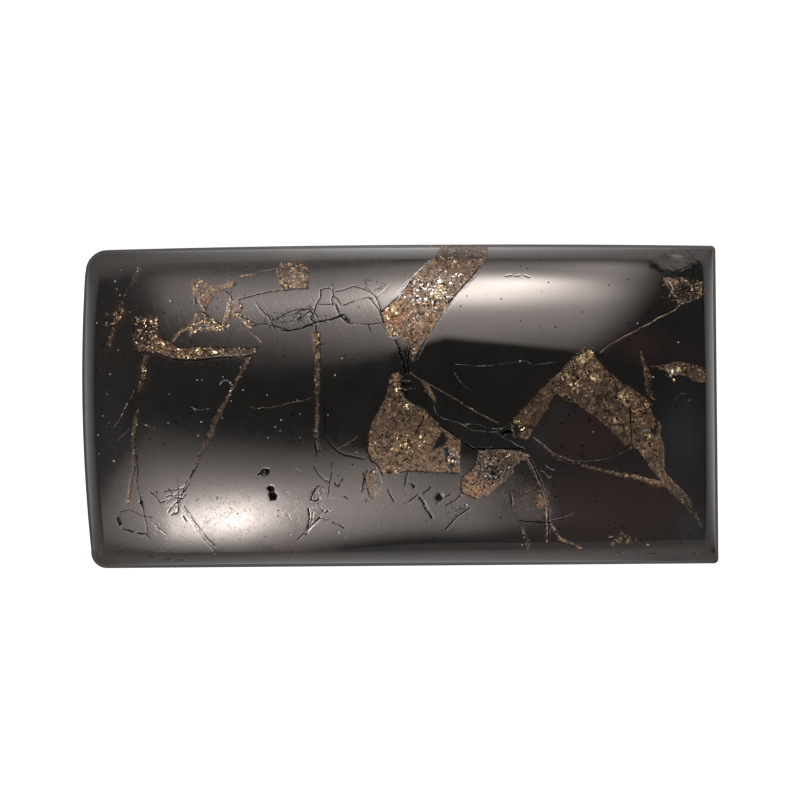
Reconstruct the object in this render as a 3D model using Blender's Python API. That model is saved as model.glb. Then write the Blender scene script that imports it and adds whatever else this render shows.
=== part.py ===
"""A rectangular shungite cabochon, healed by brown pyrite veins. Metres, +Z up.

The stone lies on its sawn back with the polished dome up. The origin is the middle of the back.
+X runs along the stone, and +Y points to the long side that is at the top when the dome is seen
from above. Outlines of veins and chips are places on a plan view of the stone, in pixels of a
photograph taken from straight above, and PLAN_SCALE turns them into metres.
"""

import math

import bmesh
import bpy
from mathutils import Vector

MM = 0.001

# The cut stone
LENGTH = 40.0 * MM
HEIGHT = 7.8 * MM
GIRDLE_HEIGHT = 1.0 * MM
GIRDLE_SOFTNESS = 0.1 * MM
WALL_LEAN = 0.2 * MM
EDGE_ROUND = 0.8 * MM

# The plan, as distances from its middle: the sides bow a little and taper to the right
HALF_LENGTH = LENGTH / 2
LEFT_BOW = 4.7
LEFT_BOW_MIDDLE = 2.0 * MM
RIGHT_END = 19.9 * MM
RIGHT_SKEW = 0.0098
BACK_SIDE = 10.18 * MM
BACK_BOW = 0.55
BACK_BOW_MIDDLE = 7.0 * MM
FRONT_SIDE = -10.03 * MM
FRONT_SKEW = 0.0079
CORNER_BACK_LEFT = 1.4 * MM
CORNER_FRONT_LEFT = 1.0 * MM
CORNER_RIGHT = 0.3 * MM

# The dome: an arc across and a flatter one along, with a quicker fall at the left end. Its ridge
# wanders from the front of the middle line, on the left, to the back of it
ACROSS_RADIUS = 12.67 * MM
ALONG_RADIUS = 85.0 * MM
ALONG_MIDDLE = -0.7 * MM
LEFT_END_RADIUS = 20.0 * MM
LEFT_END_REACH = 5.4 * MM
RIDGE_ON_LEFT = -0.32 * MM
RIDGE_ON_RIGHT = 0.36 * MM
RIDGE_TURN_FROM = -10.0 * MM
RIDGE_TURN_TO = 4.0 * MM

# The fineness of the dome's grid
COLUMNS = 62
ROWS = 34
EDGE_STEPS = 4

# The plan view's middle and scale
PLAN_MIDDLE = (400.3, 406.3)
PLAN_SCALE = LENGTH / 636.5

# Softer vein filling lies a little below the polish
VEIN_DEPTH = 0.1 * MM
FLOOR_BOTTOM = -3.0 * MM
CUT_MIDDLE = 4.0 * MM
CUT_HALF_HEIGHT = 5.0 * MM
CUT_STAGGER = 0.05 * MM
WELD = 0.001 * MM
SLOPE_STEP = 0.05 * MM

VEIN_FIELDS = {
    "flame": [
        (397, 376), (389, 386), (384, 404), (373, 421), (368, 449), (378, 464), (382, 474),
        (408, 471), (459, 473), (459, 456), (461, 441), (441, 428), (430, 413), (411, 402),
        (411, 388), (403, 381),
    ],
    "broken_band": [
        (381, 313), (385, 330), (395, 338), (403, 336), (412, 360), (420, 349), (432, 330),
        (449, 305), (461, 289), (473, 277), (486, 258), (489, 240), (438, 240), (426, 262),
        (412, 279), (400, 297),
    ],
    "gold_bar": [
        (138, 350), (153, 344), (186, 348), (223, 347), (258, 348), (251, 355), (221, 357),
        (186, 358), (168, 356),
    ],
    "lower_island": [
        (479, 449), (518, 452), (529, 456), (504, 477), (493, 489), (476, 499), (461, 492),
        (462, 478), (475, 467),
    ],
    "hook": [
        (588, 350), (560, 373), (539, 393), (511, 422), (513, 440), (526, 440), (537, 428),
        (557, 394), (581, 405), (609, 426), (625, 444), (639, 451), (664, 481), (682, 503),
        (701, 527), (686, 497), (667, 475), (658, 453), (658, 425), (650, 401), (623, 379),
        (594, 351),
    ],
    "left_nest": [(133, 318), (156, 317), (158, 325), (155, 334), (166, 350), (145, 351), (134, 335)],
    "upper_nest": [(196, 314), (208, 312), (229, 327), (216, 331), (190, 336)],
    "upper_stain": [(277, 270), (288, 262), (300, 262), (310, 271), (307, 288), (283, 290)],
    "right_stain": [(664, 277), (700, 279), (700, 295), (679, 303), (669, 296)],
    "right_wedge": [(651, 367), (672, 368), (698, 368), (700, 379), (686, 374)],
}

# Each vein is its middle line and its width in pixels at each point of it
VEIN_LINES = {
    "left_fork": [(145, 358, 5), (142, 376, 5), (139, 390, 2)],
    "left_stem": [(138, 409, 3), (136, 426, 5), (134, 450, 4), (131, 478, 8), (128, 500, 6)],
    "long_slant": [
        (250, 356, 3), (234, 384, 4), (227, 397, 6), (218, 414, 6), (210, 430, 6), (204, 447, 6),
        (197, 462, 4), (190, 480, 3), (181, 502, 3),
    ],
    "plumb_line": [(317, 333, 6), (317, 380, 6), (317, 408, 4), (316, 436, 4), (317, 452, 3)],
    "right_tie": [(553, 454, 3), (569, 461, 3), (600, 469, 4), (628, 476, 4), (650, 479, 5)],
    "right_stem": [
        (520, 455, 5), (531, 468, 5), (540, 487, 5), (543, 500, 8), (545, 512, 5), (546, 530, 4),
        (546, 543, 3),
    ],
    "top_left_hair": [(138, 270, 3), (133, 283, 4), (127, 292, 4), (121, 306, 4), (114, 330, 4)],
}

# Small holes in the polish, and a flake off the edge at the back right: place, radius and depth
BITES = {
    "pit_upper": (265, 472, 0.35 * MM, 0.16 * MM),
    "pit_middle": (270, 489, 0.28 * MM, 0.14 * MM),
    "pit_lower": (273, 496, 0.33 * MM, 0.16 * MM),
    "edge_flake": (672, 257, 4.0 * MM, 0.18 * MM),
}


def clear_scene():
    for thing in list(bpy.data.objects):
        bpy.data.objects.remove(thing)


def collection(name, in_render):
    made = bpy.data.collections.new(name)
    made.hide_render = not in_render
    bpy.context.scene.collection.children.link(made)
    return made


def principled(name, colour, roughness, metallic):
    material = bpy.data.materials.new(name)
    material.use_nodes = True
    shader = material.node_tree.nodes["Principled BSDF"]
    shader.inputs["Base Color"].default_value = (*colour, 1.0)
    shader.inputs["Roughness"].default_value = roughness
    shader.inputs["Metallic"].default_value = metallic
    return material


def mix(low, high, share):
    return low + (high - low) * share


def smooth_step(low, high, value):
    share = min(1.0, max(0.0, (value - low) / (high - low)))
    return share * share * (3 - 2 * share)


def on_plan(px, py):
    """The place of a plan pixel, in metres from the middle of the stone."""
    return (px - PLAN_MIDDLE[0]) * PLAN_SCALE, (PLAN_MIDDLE[1] - py) * PLAN_SCALE


def left_side(y):
    return -HALF_LENGTH + LEFT_BOW * (y - LEFT_BOW_MIDDLE) ** 2


def right_side(y):
    return RIGHT_END - RIGHT_SKEW * y


def back_side(x):
    return BACK_SIDE - BACK_BOW * (x - BACK_BOW_MIDDLE) ** 2


def front_side(x):
    return FRONT_SIDE + FRONT_SKEW * x


def corner_cut(reach, radius):
    """How far a round corner pulls the long side in, at this distance from the end."""
    short = min(radius, max(0.0, radius - reach))
    return radius - math.sqrt(radius * radius - short * short)


def corner_radius(from_left, from_right, toward_back):
    if from_right < from_left:
        return CORNER_RIGHT
    return CORNER_BACK_LEFT if toward_back else CORNER_FRONT_LEFT


def arc_drop(reach, radius):
    return radius - math.sqrt(radius * radius - min(reach, 0.98 * radius) ** 2)


def dome_height(x, y):
    """The dome's height before its edge is rounded over."""
    ridge = mix(RIDGE_ON_LEFT, RIDGE_ON_RIGHT, smooth_step(RIDGE_TURN_FROM, RIDGE_TURN_TO, x))
    drop = arc_drop(abs(y - ridge), ACROSS_RADIUS)
    drop += arc_drop(abs(x - ALONG_MIDDLE), ALONG_RADIUS)
    drop += arc_drop(max(0.0, LEFT_END_REACH - (x - left_side(y))), LEFT_END_RADIUS)
    return HEIGHT - drop


def edge_fall(x, y):
    """How far the round edge falls: down to the girdle, and hardly where a corner is lower than it."""
    half = (dome_height(x, y) - GIRDLE_HEIGHT) / 2
    return half + math.hypot(half, GIRDLE_SOFTNESS)


def station(step, steps, width):
    """Where a grid line lies from 0 to 1: close together over the round edge, even between."""
    edge = EDGE_ROUND / width
    if step > steps / 2:
        return 1.0 - station(steps - step, steps, width)
    if step <= EDGE_STEPS:
        return edge * (1 - math.cos(math.pi / 2 * step / EDGE_STEPS))
    return mix(edge, 1 - edge, (step - EDGE_STEPS) / (steps - 2 * EDGE_STEPS))


def place(across, along, inset):
    """A point of the stone's plan inside its outline less an inset, with its edge distances."""
    low, high = FRONT_SIDE + inset, BACK_SIDE - inset
    level = mix(low, high, along)
    left, right = left_side(level) + inset, right_side(level) - inset
    x = mix(left, right, across)
    from_left, from_right = x - left, right - x
    near_end = min(from_left, from_right)
    front = front_side(x) + inset + corner_cut(near_end, corner_radius(from_left, from_right, False))
    back = back_side(x) - inset - corner_cut(near_end, corner_radius(from_left, from_right, True))
    y = mix(front, back, along)
    return x, y, from_left, from_right


def edge_distance(x, y, from_left, from_right, inset):
    """How far a point is inside the outline, round corners counted."""
    from_front = y - front_side(x) - inset
    from_back = back_side(x) - inset - y
    radius = corner_radius(from_left, from_right, from_back < from_front)
    end, side = min(from_left, from_right), min(from_front, from_back)
    if end < radius and side < radius:
        return max(0.0, radius - math.hypot(radius - end, radius - side))
    return max(0.0, min(end, side))


def dome_point(across, along, inset, sink):
    """A point of the polished face. A sunk copy of it is the floor of the veins."""
    x, y, from_left, from_right = place(across, along, inset)
    distance = edge_distance(x, y, from_left, from_right, inset)
    height = dome_height(x, y)
    if distance < EDGE_ROUND:
        height -= edge_fall(x, y) * (1 - math.sqrt(1 - (1 - distance / EDGE_ROUND) ** 2))
    return x, y, height - sink


def domed_block(name, offset, bottom, material):
    """A flat grid with its rim drawn down and closed, then bent to the stone's form."""
    mesh = bmesh.new()
    bmesh.ops.create_grid(mesh, x_segments=COLUMNS, y_segments=ROWS, size=1.0)
    rim = [edge for edge in mesh.edges if edge.is_boundary]
    drawn = bmesh.ops.extrude_edge_only(mesh, edges=rim)["geom"]
    lower_rim = {part for part in drawn if isinstance(part, bmesh.types.BMVert)}
    wall_inset = offset + WALL_LEAN * bottom / GIRDLE_HEIGHT
    for vert in mesh.verts:
        column = round((vert.co.x + 1) / 2 * COLUMNS)
        row = round((vert.co.y + 1) / 2 * ROWS)
        across = station(column, COLUMNS, LENGTH)
        along = station(row, ROWS, BACK_SIDE - FRONT_SIDE)
        if vert in lower_rim:
            x, y, _, _ = place(across, along, wall_inset)
            vert.co = (x, y, bottom)
        else:
            vert.co = dome_point(across, along, WALL_LEAN + offset, offset)
    bmesh.ops.holes_fill(mesh, edges=[edge for edge in mesh.edges if edge.is_boundary])
    bmesh.ops.recalc_face_normals(mesh, faces=mesh.faces)
    data = bpy.data.meshes.new(name)
    mesh.to_mesh(data)
    mesh.free()
    data.materials.append(material)
    return bpy.data.objects.new(name, data)


def vein_outline(line):
    """The closed outline of a vein, from its middle line and its widths."""
    left, right = [], []
    for index, (px, py, width) in enumerate(line):
        before = line[max(0, index - 1)]
        after = line[min(len(line) - 1, index + 1)]
        run, fall = after[0] - before[0], after[1] - before[1]
        length = math.hypot(run, fall)
        side_x, side_y = -fall / length * width / 2, run / length * width / 2
        left.append((px + side_x, py + side_y))
        right.append((px - side_x, py - side_y))
    return left + right[::-1]


def upright_block(outline, half_height):
    """The mesh of an upright block on a plan outline, with its middle at height 0."""
    curve = bpy.data.curves.new("plan_outline", "CURVE")
    curve.dimensions = "2D"
    curve.fill_mode = "BOTH"
    curve.extrude = half_height
    spline = curve.splines.new("POLY")
    spline.points.add(len(outline) - 1)
    for point, pixel in zip(spline.points, outline):
        point.co = (*on_plan(*pixel), 0.0, 1.0)
    spline.use_cyclic_u = True
    drawn = bpy.data.objects.new("plan_outline", curve)
    bpy.context.scene.collection.objects.link(drawn)
    graph = bpy.context.evaluated_depsgraph_get()
    data = bpy.data.meshes.new_from_object(drawn.evaluated_get(graph))
    bpy.data.objects.remove(drawn)
    return data


def vein_blocks(material):
    """Every field and vein as an upright block, each a little taller than the last, in one mesh."""
    outlines = list(VEIN_FIELDS.values()) + [vein_outline(line) for line in VEIN_LINES.values()]
    mesh = bmesh.new()
    for index, outline in enumerate(outlines):
        mesh.from_mesh(upright_block(outline, CUT_HALF_HEIGHT + index * CUT_STAGGER))
    bmesh.ops.remove_doubles(mesh, verts=mesh.verts, dist=WELD)
    bmesh.ops.recalc_face_normals(mesh, faces=mesh.faces)
    data = bpy.data.meshes.new("vein_blocks")
    mesh.to_mesh(data)
    mesh.free()
    data.materials.append(material)
    made = bpy.data.objects.new("vein_blocks", data)
    made.location.z = CUT_MIDDLE
    return made


def bite(name, place_px, radius, depth, material):
    """A ball that dips squarely into the polished face by the depth, for a pit or a flake."""
    x, y = on_plan(*place_px)
    level = dome_height(x, y)
    slope_x = (dome_height(x + SLOPE_STEP, y) - level) / SLOPE_STEP
    slope_y = (dome_height(x, y + SLOPE_STEP) - level) / SLOPE_STEP
    outward = Vector((-slope_x, -slope_y, 1.0)).normalized()
    data = bpy.data.meshes.new(name)
    mesh = bmesh.new()
    bmesh.ops.create_icosphere(mesh, subdivisions=2, radius=radius)
    mesh.to_mesh(data)
    mesh.free()
    data.materials.append(material)
    made = bpy.data.objects.new(name, data)
    made.location = Vector((x, y, level)) + outward * (radius - depth)
    return made


def cut(target, name, **operand):
    modifier = target.modifiers.new(name, "BOOLEAN")
    modifier.operation = "DIFFERENCE"
    modifier.solver = "EXACT"
    modifier.material_mode = "TRANSFER"
    for setting, value in operand.items():
        setattr(modifier, setting, value)


def as_helper(thing, group):
    thing.hide_render = True
    thing.display_type = "WIRE"
    group.objects.link(thing)


def main():
    clear_scene()
    stone_group = collection("shungite_cabochon", True)
    guides = collection("vein_cutter", False)
    cutters = collection("pit_and_flake_cutters", False)
    polish = principled("polished_shungite", (0.012, 0.011, 0.011), 0.08, 0.0)
    filling = principled("pyrite_vein", (0.23, 0.15, 0.08), 0.45, 0.4)

    stone = domed_block("stone", 0.0, 0.0, polish)
    stone_group.objects.link(stone)

    floor = domed_block("vein_floor", VEIN_DEPTH, FLOOR_BOTTOM, filling)
    as_helper(floor, guides)

    veins = vein_blocks(filling)
    as_helper(veins, guides)
    cut(veins, "keep_above_floor", object=floor, use_self=True)

    for name, (px, py, radius, depth) in BITES.items():
        as_helper(bite(name, (px, py), radius, depth, polish), cutters)

    cut(stone, "veins", object=veins)
    cut(stone, "pits_and_flake", operand_type="COLLECTION", collection=cutters)


main()
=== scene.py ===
"""The looks of a rectangular shungite cabochon: black glassy stone, healed by brown and gold veins.

One mesh stands for the whole stone. Its polished face is a fine sheet of triangles that follows
every vein and crack, its side is a band of rings, and its back is a sawn face. Lengths are in
millimetres until the mesh is made. Places on the face are pixels of a photograph taken from
straight above, 800 pixels wide and high, and PLAN_SCALE turns them into millimetres.
"""

import itertools
import math

import bpy
import numpy as np
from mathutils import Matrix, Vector
from mathutils.geometry import delaunay_2d_cdt


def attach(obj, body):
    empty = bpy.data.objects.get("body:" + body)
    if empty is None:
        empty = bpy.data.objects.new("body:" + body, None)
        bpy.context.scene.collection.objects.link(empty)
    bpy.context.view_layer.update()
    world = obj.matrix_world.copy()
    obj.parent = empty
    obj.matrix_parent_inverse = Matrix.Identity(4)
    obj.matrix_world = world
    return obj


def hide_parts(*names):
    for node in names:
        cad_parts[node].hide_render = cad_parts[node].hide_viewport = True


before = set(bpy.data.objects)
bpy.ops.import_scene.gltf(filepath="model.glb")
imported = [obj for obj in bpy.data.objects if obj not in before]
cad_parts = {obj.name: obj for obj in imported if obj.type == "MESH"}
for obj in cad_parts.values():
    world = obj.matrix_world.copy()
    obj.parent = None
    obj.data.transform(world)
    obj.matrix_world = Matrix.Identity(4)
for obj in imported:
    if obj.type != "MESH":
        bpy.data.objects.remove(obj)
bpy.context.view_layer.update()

MM = 0.001

# The cut stone, as in the frame
LENGTH = 40.0
HEIGHT = 7.8
GIRDLE_HEIGHT = 1.0
GIRDLE_SOFTNESS = 0.1
WALL_LEAN = 0.2
EDGE_ROUND = 0.8
HALF_LENGTH = LENGTH / 2
LEFT_BOW = 0.0047
LEFT_BOW_MIDDLE = 2.0
RIGHT_END = 19.9
RIGHT_SKEW = 0.0098
BACK_SIDE = 10.18
BACK_BOW = 0.00055
BACK_BOW_MIDDLE = 7.0
FRONT_SIDE = -10.03
FRONT_SKEW = 0.0079
CORNER_BACK_LEFT = 1.4
CORNER_FRONT_LEFT = 1.0
CORNER_RIGHT = 0.3
BASE_BEVEL = 0.07

# The dome: an arc across and a flatter one along, with a quicker fall at the left end. Its ridge
# wanders from the front of the middle line, on the left, to the back of it
ACROSS_RADIUS = 12.67
ALONG_RADIUS = 85.0
ALONG_MIDDLE = -0.7
LEFT_END_RADIUS = 20.0
LEFT_END_REACH = 5.4
RIDGE_ON_LEFT = -0.32
RIDGE_ON_RIGHT = 0.36
RIDGE_TURN_FROM = -10.0
RIDGE_TURN_TO = 4.0

# The view: straight down from a long way off, with the photograph's framing
VIEW_HEIGHT = 600.0
SENSOR = 36.0
PHOTO_SIZE = 800
PLAN_MIDDLE = (400.3, 406.3)
PLAN_SCALE = LENGTH / 636.5
VIEW_X = (PHOTO_SIZE / 2 - PLAN_MIDDLE[0]) * PLAN_SCALE
VIEW_Y = (PLAN_MIDDLE[1] - PHOTO_SIZE / 2) * PLAN_SCALE

# The stone's corners, counter-clockwise from the back right: sides along x and y, and radius
CORNERS = (
    (1, 1, CORNER_RIGHT),
    (-1, 1, CORNER_BACK_LEFT),
    (-1, -1, CORNER_FRONT_LEFT),
    (1, -1, CORNER_RIGHT),
)
SHARPEST_CORNER = 0.15
CORNER_POINTS = 9

# The fineness of the mesh
FINEST = 0.06
COARSEST_LEVEL = 3
COARSENING = 0.6
DETAIL_REACH = 1.3
LATTICE_SHAKE = 0.4
OUTLINE_SPACING = 0.1
CRACK_SPACING = 0.14
VEIN_ROW = 0.04
ROW_CLEARANCE = 0.03
RING_CLEARANCE = 0.04
SPOT_POINTS = 7
LOOP_SPACING = 0.18
ARC_RINGS = 12
WALL_RINGS = 5
BACK_FINEST = 0.3
WELD = 1e-5
ONLY_INSIDE = 1

# The texture's layout: three strips for the side, then the back, then the face
STRIPS = 3
STRIP_HEIGHT = 0.09
STRIP_FILL = 0.9
BACK_PLACE = (0.28, 0.47)
FACE_PLACE = (0.48, 0.99)

# How edges are broken, as waves with a size, a share and a seed each, how worn polish fades, and how
# far the veins shift for each millimetre down
RAGGEDNESS = 0.05
RAGGED_WAVES = ((0.45, 0.6, 0), (0.16, 0.4, 9))
SPECK_RADII = (0.035, 0.055, 0.04, 0.065, 0.045)
DULL_FADE = 0.5
VEIN_DIP = (0.3, -0.2)

# Depths of what lies below the polish, and the sizes of grains and lumps
STEP_WIDTH = 0.07
VEIN_DEPTH = 0.014
GRAIN_SIZE = 0.16
GRAIN_DEPTH = 0.008
GRAIN_LEAN = 0.07
LUMP_SIZE = 0.5
LUMP_DEPTH = 0.006
NUGGET_RISE = 0.006
SPARSE_SHALLOWNESS = 0.85
CRACK_NARROWING = 0.75
CRACK_DEPTH = 0.007
CHIP_DEPTH = 0.006
CHIP_LEAN = 6.0
STAIN_DEPTH = 0.004
SPECK_DEPTH = 0.02
WAVE_SIZE = 1.7
WAVE_DEPTH = 0.0015
BAND_RELIEF = 0.4

# The finish. The polish is rougher where it is dull, and the filling where it isn't metal. Bare gold
# leans a little towards the far light box, and so glints
STONE_IOR = 1.92
POLISH_ROUGHNESS = (0.03, 0.24)
FILLING_ROUGHNESS = (0.5, 0.25)
CRUSHED_ROUGHNESS = 0.5
SAWN_ROUGHNESS = 0.5
SCRATCH_DEPTH = 0.005
SAW_MARK_DEPTH = 0.02
SAW_MARK_SIZE = 0.25
METAL_GRAIN = 0.11
SHEEN_TINT = (1.0, 0.87, 0.81, 1.0)
GLINT_LEAN = (-0.12, 0.42, 0.0)

# Colours
DEEP_BLACK = (0.021, 0.021, 0.0195, 1)
CLOUDY_BLACK = (0.0265, 0.0255, 0.024, 1)
BROWN_BLACK = (0.056, 0.034, 0.031, 1)
BLUE_BLACK = (0.046, 0.046, 0.054, 1)
RUSTY_BLACK = (0.13, 0.066, 0.036, 1)
FILLING_DARK = (0.175, 0.11, 0.069, 1)
FILLING_LIGHT = (0.325, 0.204, 0.126, 1)
DARK_LUMPS = (0.085, 0.057, 0.04, 1)
SANDY_LUMPS = (0.5, 0.32, 0.21, 1)
BROAD_STAINS = (0.2, 0.135, 0.095, 1)
# Pale tan grains of the filling, partly painted glints
SANDY_GRAINS_AND_GLINTS = (0.62, 0.42, 0.27, 1)
RUST = (0.4, 0.18, 0.08, 1)
DIM_FILLING = (0.032, 0.025, 0.019, 1)
DARK_SILVER = (0.24, 0.21, 0.19, 1)
BRIGHT_SILVER = (0.8, 0.75, 0.7, 1)
RED_GOLD = (1.0, 0.56, 0.22, 1)
PALE_GOLD = (1.0, 0.8, 0.47, 1)
PORE_BLACK = (0.011, 0.009, 0.008, 1)
# Painted shade: the black of open cracks, pits, pinholes and crack nets stands in for the shade inside them
CRACK_PAINTED_SHADE = (0.004, 0.004, 0.004, 1)
# White of crushed stone, partly painted glints: bright cracks, the rims of open cracks, chips in crushed
# nets, and specks
CRUSHED_WHITE_AND_GLINTS = (0.62, 0.57, 0.53, 1)
NO_COLOUR = (0.0, 0.0, 0.0, 1)
TABLE_WHITE = (0.8, 0.8, 0.8, 1)
PURE_WHITE = (1, 1, 1, 1)

# The studio: lengths in millimetres, light as brightness, angles in degrees. The room and the
# table are brighter towards some sides than others, and the table is dimmer farther away
TABLE_SIZE = 4000.0
TABLE_GAP = 0.02
TABLE_GLOW = 0.9
TABLE_SIDES = {"back": 0.745, "front": 0.364, "left": 0.278, "right": 0.368}
TABLE_NEAR = 18.0
TABLE_FAR = 60.0
TABLE_FAR_SHARE = 0.55
TABLE_SHARPNESS = 2.0
ROOM_SHARPNESS = 1.0
HORIZON_FADE = 0.06
ROOM_SIDES = {"back": 0.027, "front": 0.068, "left": 0.097, "right": 0.0}
LIGHT_BOXES = (
    {
        "azimuth": 241.8, "elevation": 16.4, "roll": 28.4, "hand": -1,
        "Left Edge": 0.35, "Right Edge": 2.5, "Low Edge": -0.98, "High Edge": 1.119,
        "Left Softness": 0.059, "Right Softness": 0.807,
        "Low Softness": 0.335, "High Softness": 0.195,
        "High Bend": 0.0, "High Slant": 0.0, "Even Light": 0.127,
        "Core Light": 12.5, "Core Across": 1.095, "Core Up": -0.2,
        "Core Width": 0.098, "Core Height": 0.238,
        "Glow Light": 2.2, "Glow Across": 0.919, "Glow Up": -0.028,
        "Glow Width": 0.316, "Glow Height": 0.451,
        "Wash Light": 1.788, "Wash Across": 1.648, "Wash Up": -0.124,
        "Wash Width": 0.31, "Wash Height": 0.742,
        "Tail Light": 0.0, "Tail Across": 0.0, "Tail Up": 0.0,
        "Tail Width": 1.0, "Tail Height": 1.0,
    },
    {
        "azimuth": -17.9, "elevation": 26.0, "roll": 0.0, "hand": 1,
        "Left Edge": -0.003, "Right Edge": 0.623, "Low Edge": -0.45, "High Edge": 0.565,
        "Left Softness": 0.155, "Right Softness": 0.066,
        "Low Softness": 0.12, "High Softness": 0.065,
        "High Bend": 0.292, "High Slant": 0.999, "Even Light": 0.0,
        "Core Light": 5.744, "Core Across": 0.463, "Core Up": -0.115,
        "Core Width": 0.053, "Core Height": 0.067,
        "Glow Light": 7.471, "Glow Across": 0.363, "Glow Up": 0.016,
        "Glow Width": 0.118, "Glow Height": 0.106,
        "Wash Light": 2.175, "Wash Across": 0.381, "Wash Up": 0.12,
        "Wash Width": 0.311, "Wash Height": 0.445,
        "Tail Light": 16.0, "Tail Across": 0.899, "Tail Up": -0.386,
        "Tail Width": 0.136, "Tail Height": 0.174,
    },
)

# Fields of vein filling
VEIN_FIELDS = {
    "flame": [
        (397, 372), (391, 375), (388, 385), (387, 392), (385, 399), (378, 411), (374, 417),
        (371, 425), (369, 432), (368, 450), (370, 460), (377, 464), (382, 475), (394, 473),
        (408, 471), (430, 472), (459, 473), (459, 456), (461, 441), (446, 430), (440, 426),
        (434, 421), (428, 413), (424, 409), (411, 404), (411, 391), (400, 388), (400, 381),
        (404, 376),
    ],
    "broken_band": [
        (381, 313), (383, 322), (385, 330), (388, 336), (395, 338), (402, 336), (408, 345),
        (410, 356), (413, 362), (417, 352), (423, 341), (432, 330), (437, 321), (443, 312),
        (449, 305), (452, 300), (457, 294), (466, 284), (472, 278), (480, 267), (487, 258),
        (488, 246), (470, 243), (445, 243), (438, 250), (434, 257), (426, 264), (418, 272),
        (412, 279), (400, 297), (390, 305),
    ],
    "gold_bar": [
        (138, 350), (153, 344), (170, 346), (186, 348), (205, 347), (223, 347), (258, 348),
        (251, 354), (240, 356), (221, 356), (200, 358), (187, 359), (175, 358), (167, 356),
        (157, 351),
    ],
    "lower_island": [
        (479, 449), (496, 449), (518, 452), (529, 456), (520, 462), (504, 477), (493, 489),
        (476, 499), (461, 492), (462, 478), (475, 467),
    ],
    "hook": [
        (588, 350), (580, 354), (568, 363), (556, 375), (544, 386), (532, 399), (520, 412),
        (511, 424), (512, 438), (527, 440), (530, 436), (537, 424), (545, 412), (552, 399),
        (556, 393), (560, 396), (565, 401), (577, 403), (586, 411), (598, 419), (609, 428),
        (618, 438), (622, 443), (638, 450), (646, 462), (650, 468), (661, 481), (670, 493),
        (682, 505), (694, 517), (702, 528), (695, 512), (686, 494), (680, 488), (672, 481),
        (664, 470), (664, 447), (661, 438), (661, 425), (653, 416), (651, 410), (650, 401),
        (635, 390), (620, 381), (608, 371), (596, 358), (591, 350),
    ],
    "left_nest": [
        (133, 319), (145, 317), (156, 317), (158, 325), (155, 333), (165, 342), (150, 347),
        (136, 350), (134, 335),
    ],
    "upper_nest": [
        (196, 314), (203, 312), (210, 318), (217, 321), (222, 325), (229, 327), (224, 330),
        (216, 330), (207, 328), (200, 330), (190, 336),
    ],
    "upper_patch": [
        (192, 279), (203, 280), (213, 285), (222, 286), (234, 281), (236, 284), (230, 288),
        (222, 290), (214, 296), (208, 303), (205, 312), (200, 304), (194, 293),
    ],
    "ring_patch": [
        (230, 301), (238, 300), (242, 306), (240, 315), (250, 321), (255, 325), (250, 328),
        (240, 318), (232, 313), (228, 320), (222, 328), (226, 312),
    ],
    "upper_stain": [
        (277, 270), (281, 264), (286, 262), (300, 262), (310, 270), (307, 288), (295, 288),
        (283, 290), (278, 281),
    ],
    "right_stain": [
        (662, 278), (672, 277), (690, 280), (704, 282), (706, 294), (692, 300), (679, 304),
        (671, 296),
    ],
    "right_wedge_upper": [
        (651, 366), (665, 364), (676, 362), (690, 364), (706, 369), (706, 383), (694, 381),
        (685, 376), (674, 374), (660, 369),
    ],
    "brown_wedge": [(420, 380), (428, 384), (434, 392), (436, 402), (430, 398), (424, 388)],
    "stem_triangle": [(541, 486), (546, 500), (545, 509), (536, 506), (538, 496)],
}

# Veins as middle lines: places and widths in pixels
VEIN_LINES = {
    "left_fork": [(147, 355, 5), (144, 362, 4), (143, 370, 4), (141, 383, 4), (139, 392, 2)],
    "left_stem": [
        (138, 408, 2), (136, 418, 4), (135, 425, 3.5), (133, 437, 2.5), (134, 450, 2), (134, 470, 2),
        (131, 480, 2.5), (129, 497, 2), (127, 504, 1.5),
    ],
    "long_slant": [
        (250, 356, 3), (246, 362, 4), (240, 374, 3), (233, 388, 3), (226, 400, 3.5), (220, 411, 4.5),
        (212, 430, 5.5), (207, 443, 5), (203, 449, 4), (197, 461, 2.5), (193, 472, 1.5),
    ],
    "plumb_line": [
        (316, 333, 6), (317, 350, 6), (317, 380, 6), (317, 390, 4), (317, 418, 3), (316, 430, 4),
        (316, 441, 3), (318, 450, 2),
    ],
    "right_tie": [
        (533, 438, 1.5), (544, 446, 1.5), (554, 455, 2), (568, 459, 2), (580, 465, 2.5),
        (600, 470, 3), (612, 473, 3), (627, 476, 4), (640, 478, 4.5), (656, 483, 5), (664, 485, 5),
    ],
    "right_stem": [
        (518, 452, 3), (528, 462, 3.5), (534, 474, 3), (540, 488, 2.5), (543, 496, 3),
        (545, 505, 4), (546, 520, 2), (547, 543, 1.5),
    ],
    "stem_branch": [(547, 520, 1.5), (551, 526, 2), (560, 539, 2), (572, 544, 1.5), (582, 549, 1)],
    "stem_left": [(521, 527, 1.5), (524, 533, 2), (527, 540, 2), (529, 556, 2)],
    "top_left_hair": [
        (140, 262, 1.5), (137, 272, 2), (133, 283, 2), (128, 291, 2.5), (123, 300, 2),
        (120, 308, 6), (115, 325, 3), (112, 335, 2), (108, 345, 2),
    ],
    "nest_tail": [(158, 340, 6), (170, 345, 5), (178, 351, 3)],
    "nest_link": [(168, 346, 2), (175, 338, 3), (182, 331, 3), (192, 326, 3)],
    "right_thorn": [
        (640, 350, 1), (642, 357, 3), (645, 366, 4), (648, 378, 6), (648, 386, 6), (651, 398, 5),
    ],
    "lower_spread": [(370, 470, 16), (374, 482, 16), (373, 492, 10), (372, 498, 4)],
    "island_root": [(484, 495, 3), (492, 487, 5), (502, 479, 5), (512, 470, 5)],
}

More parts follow.
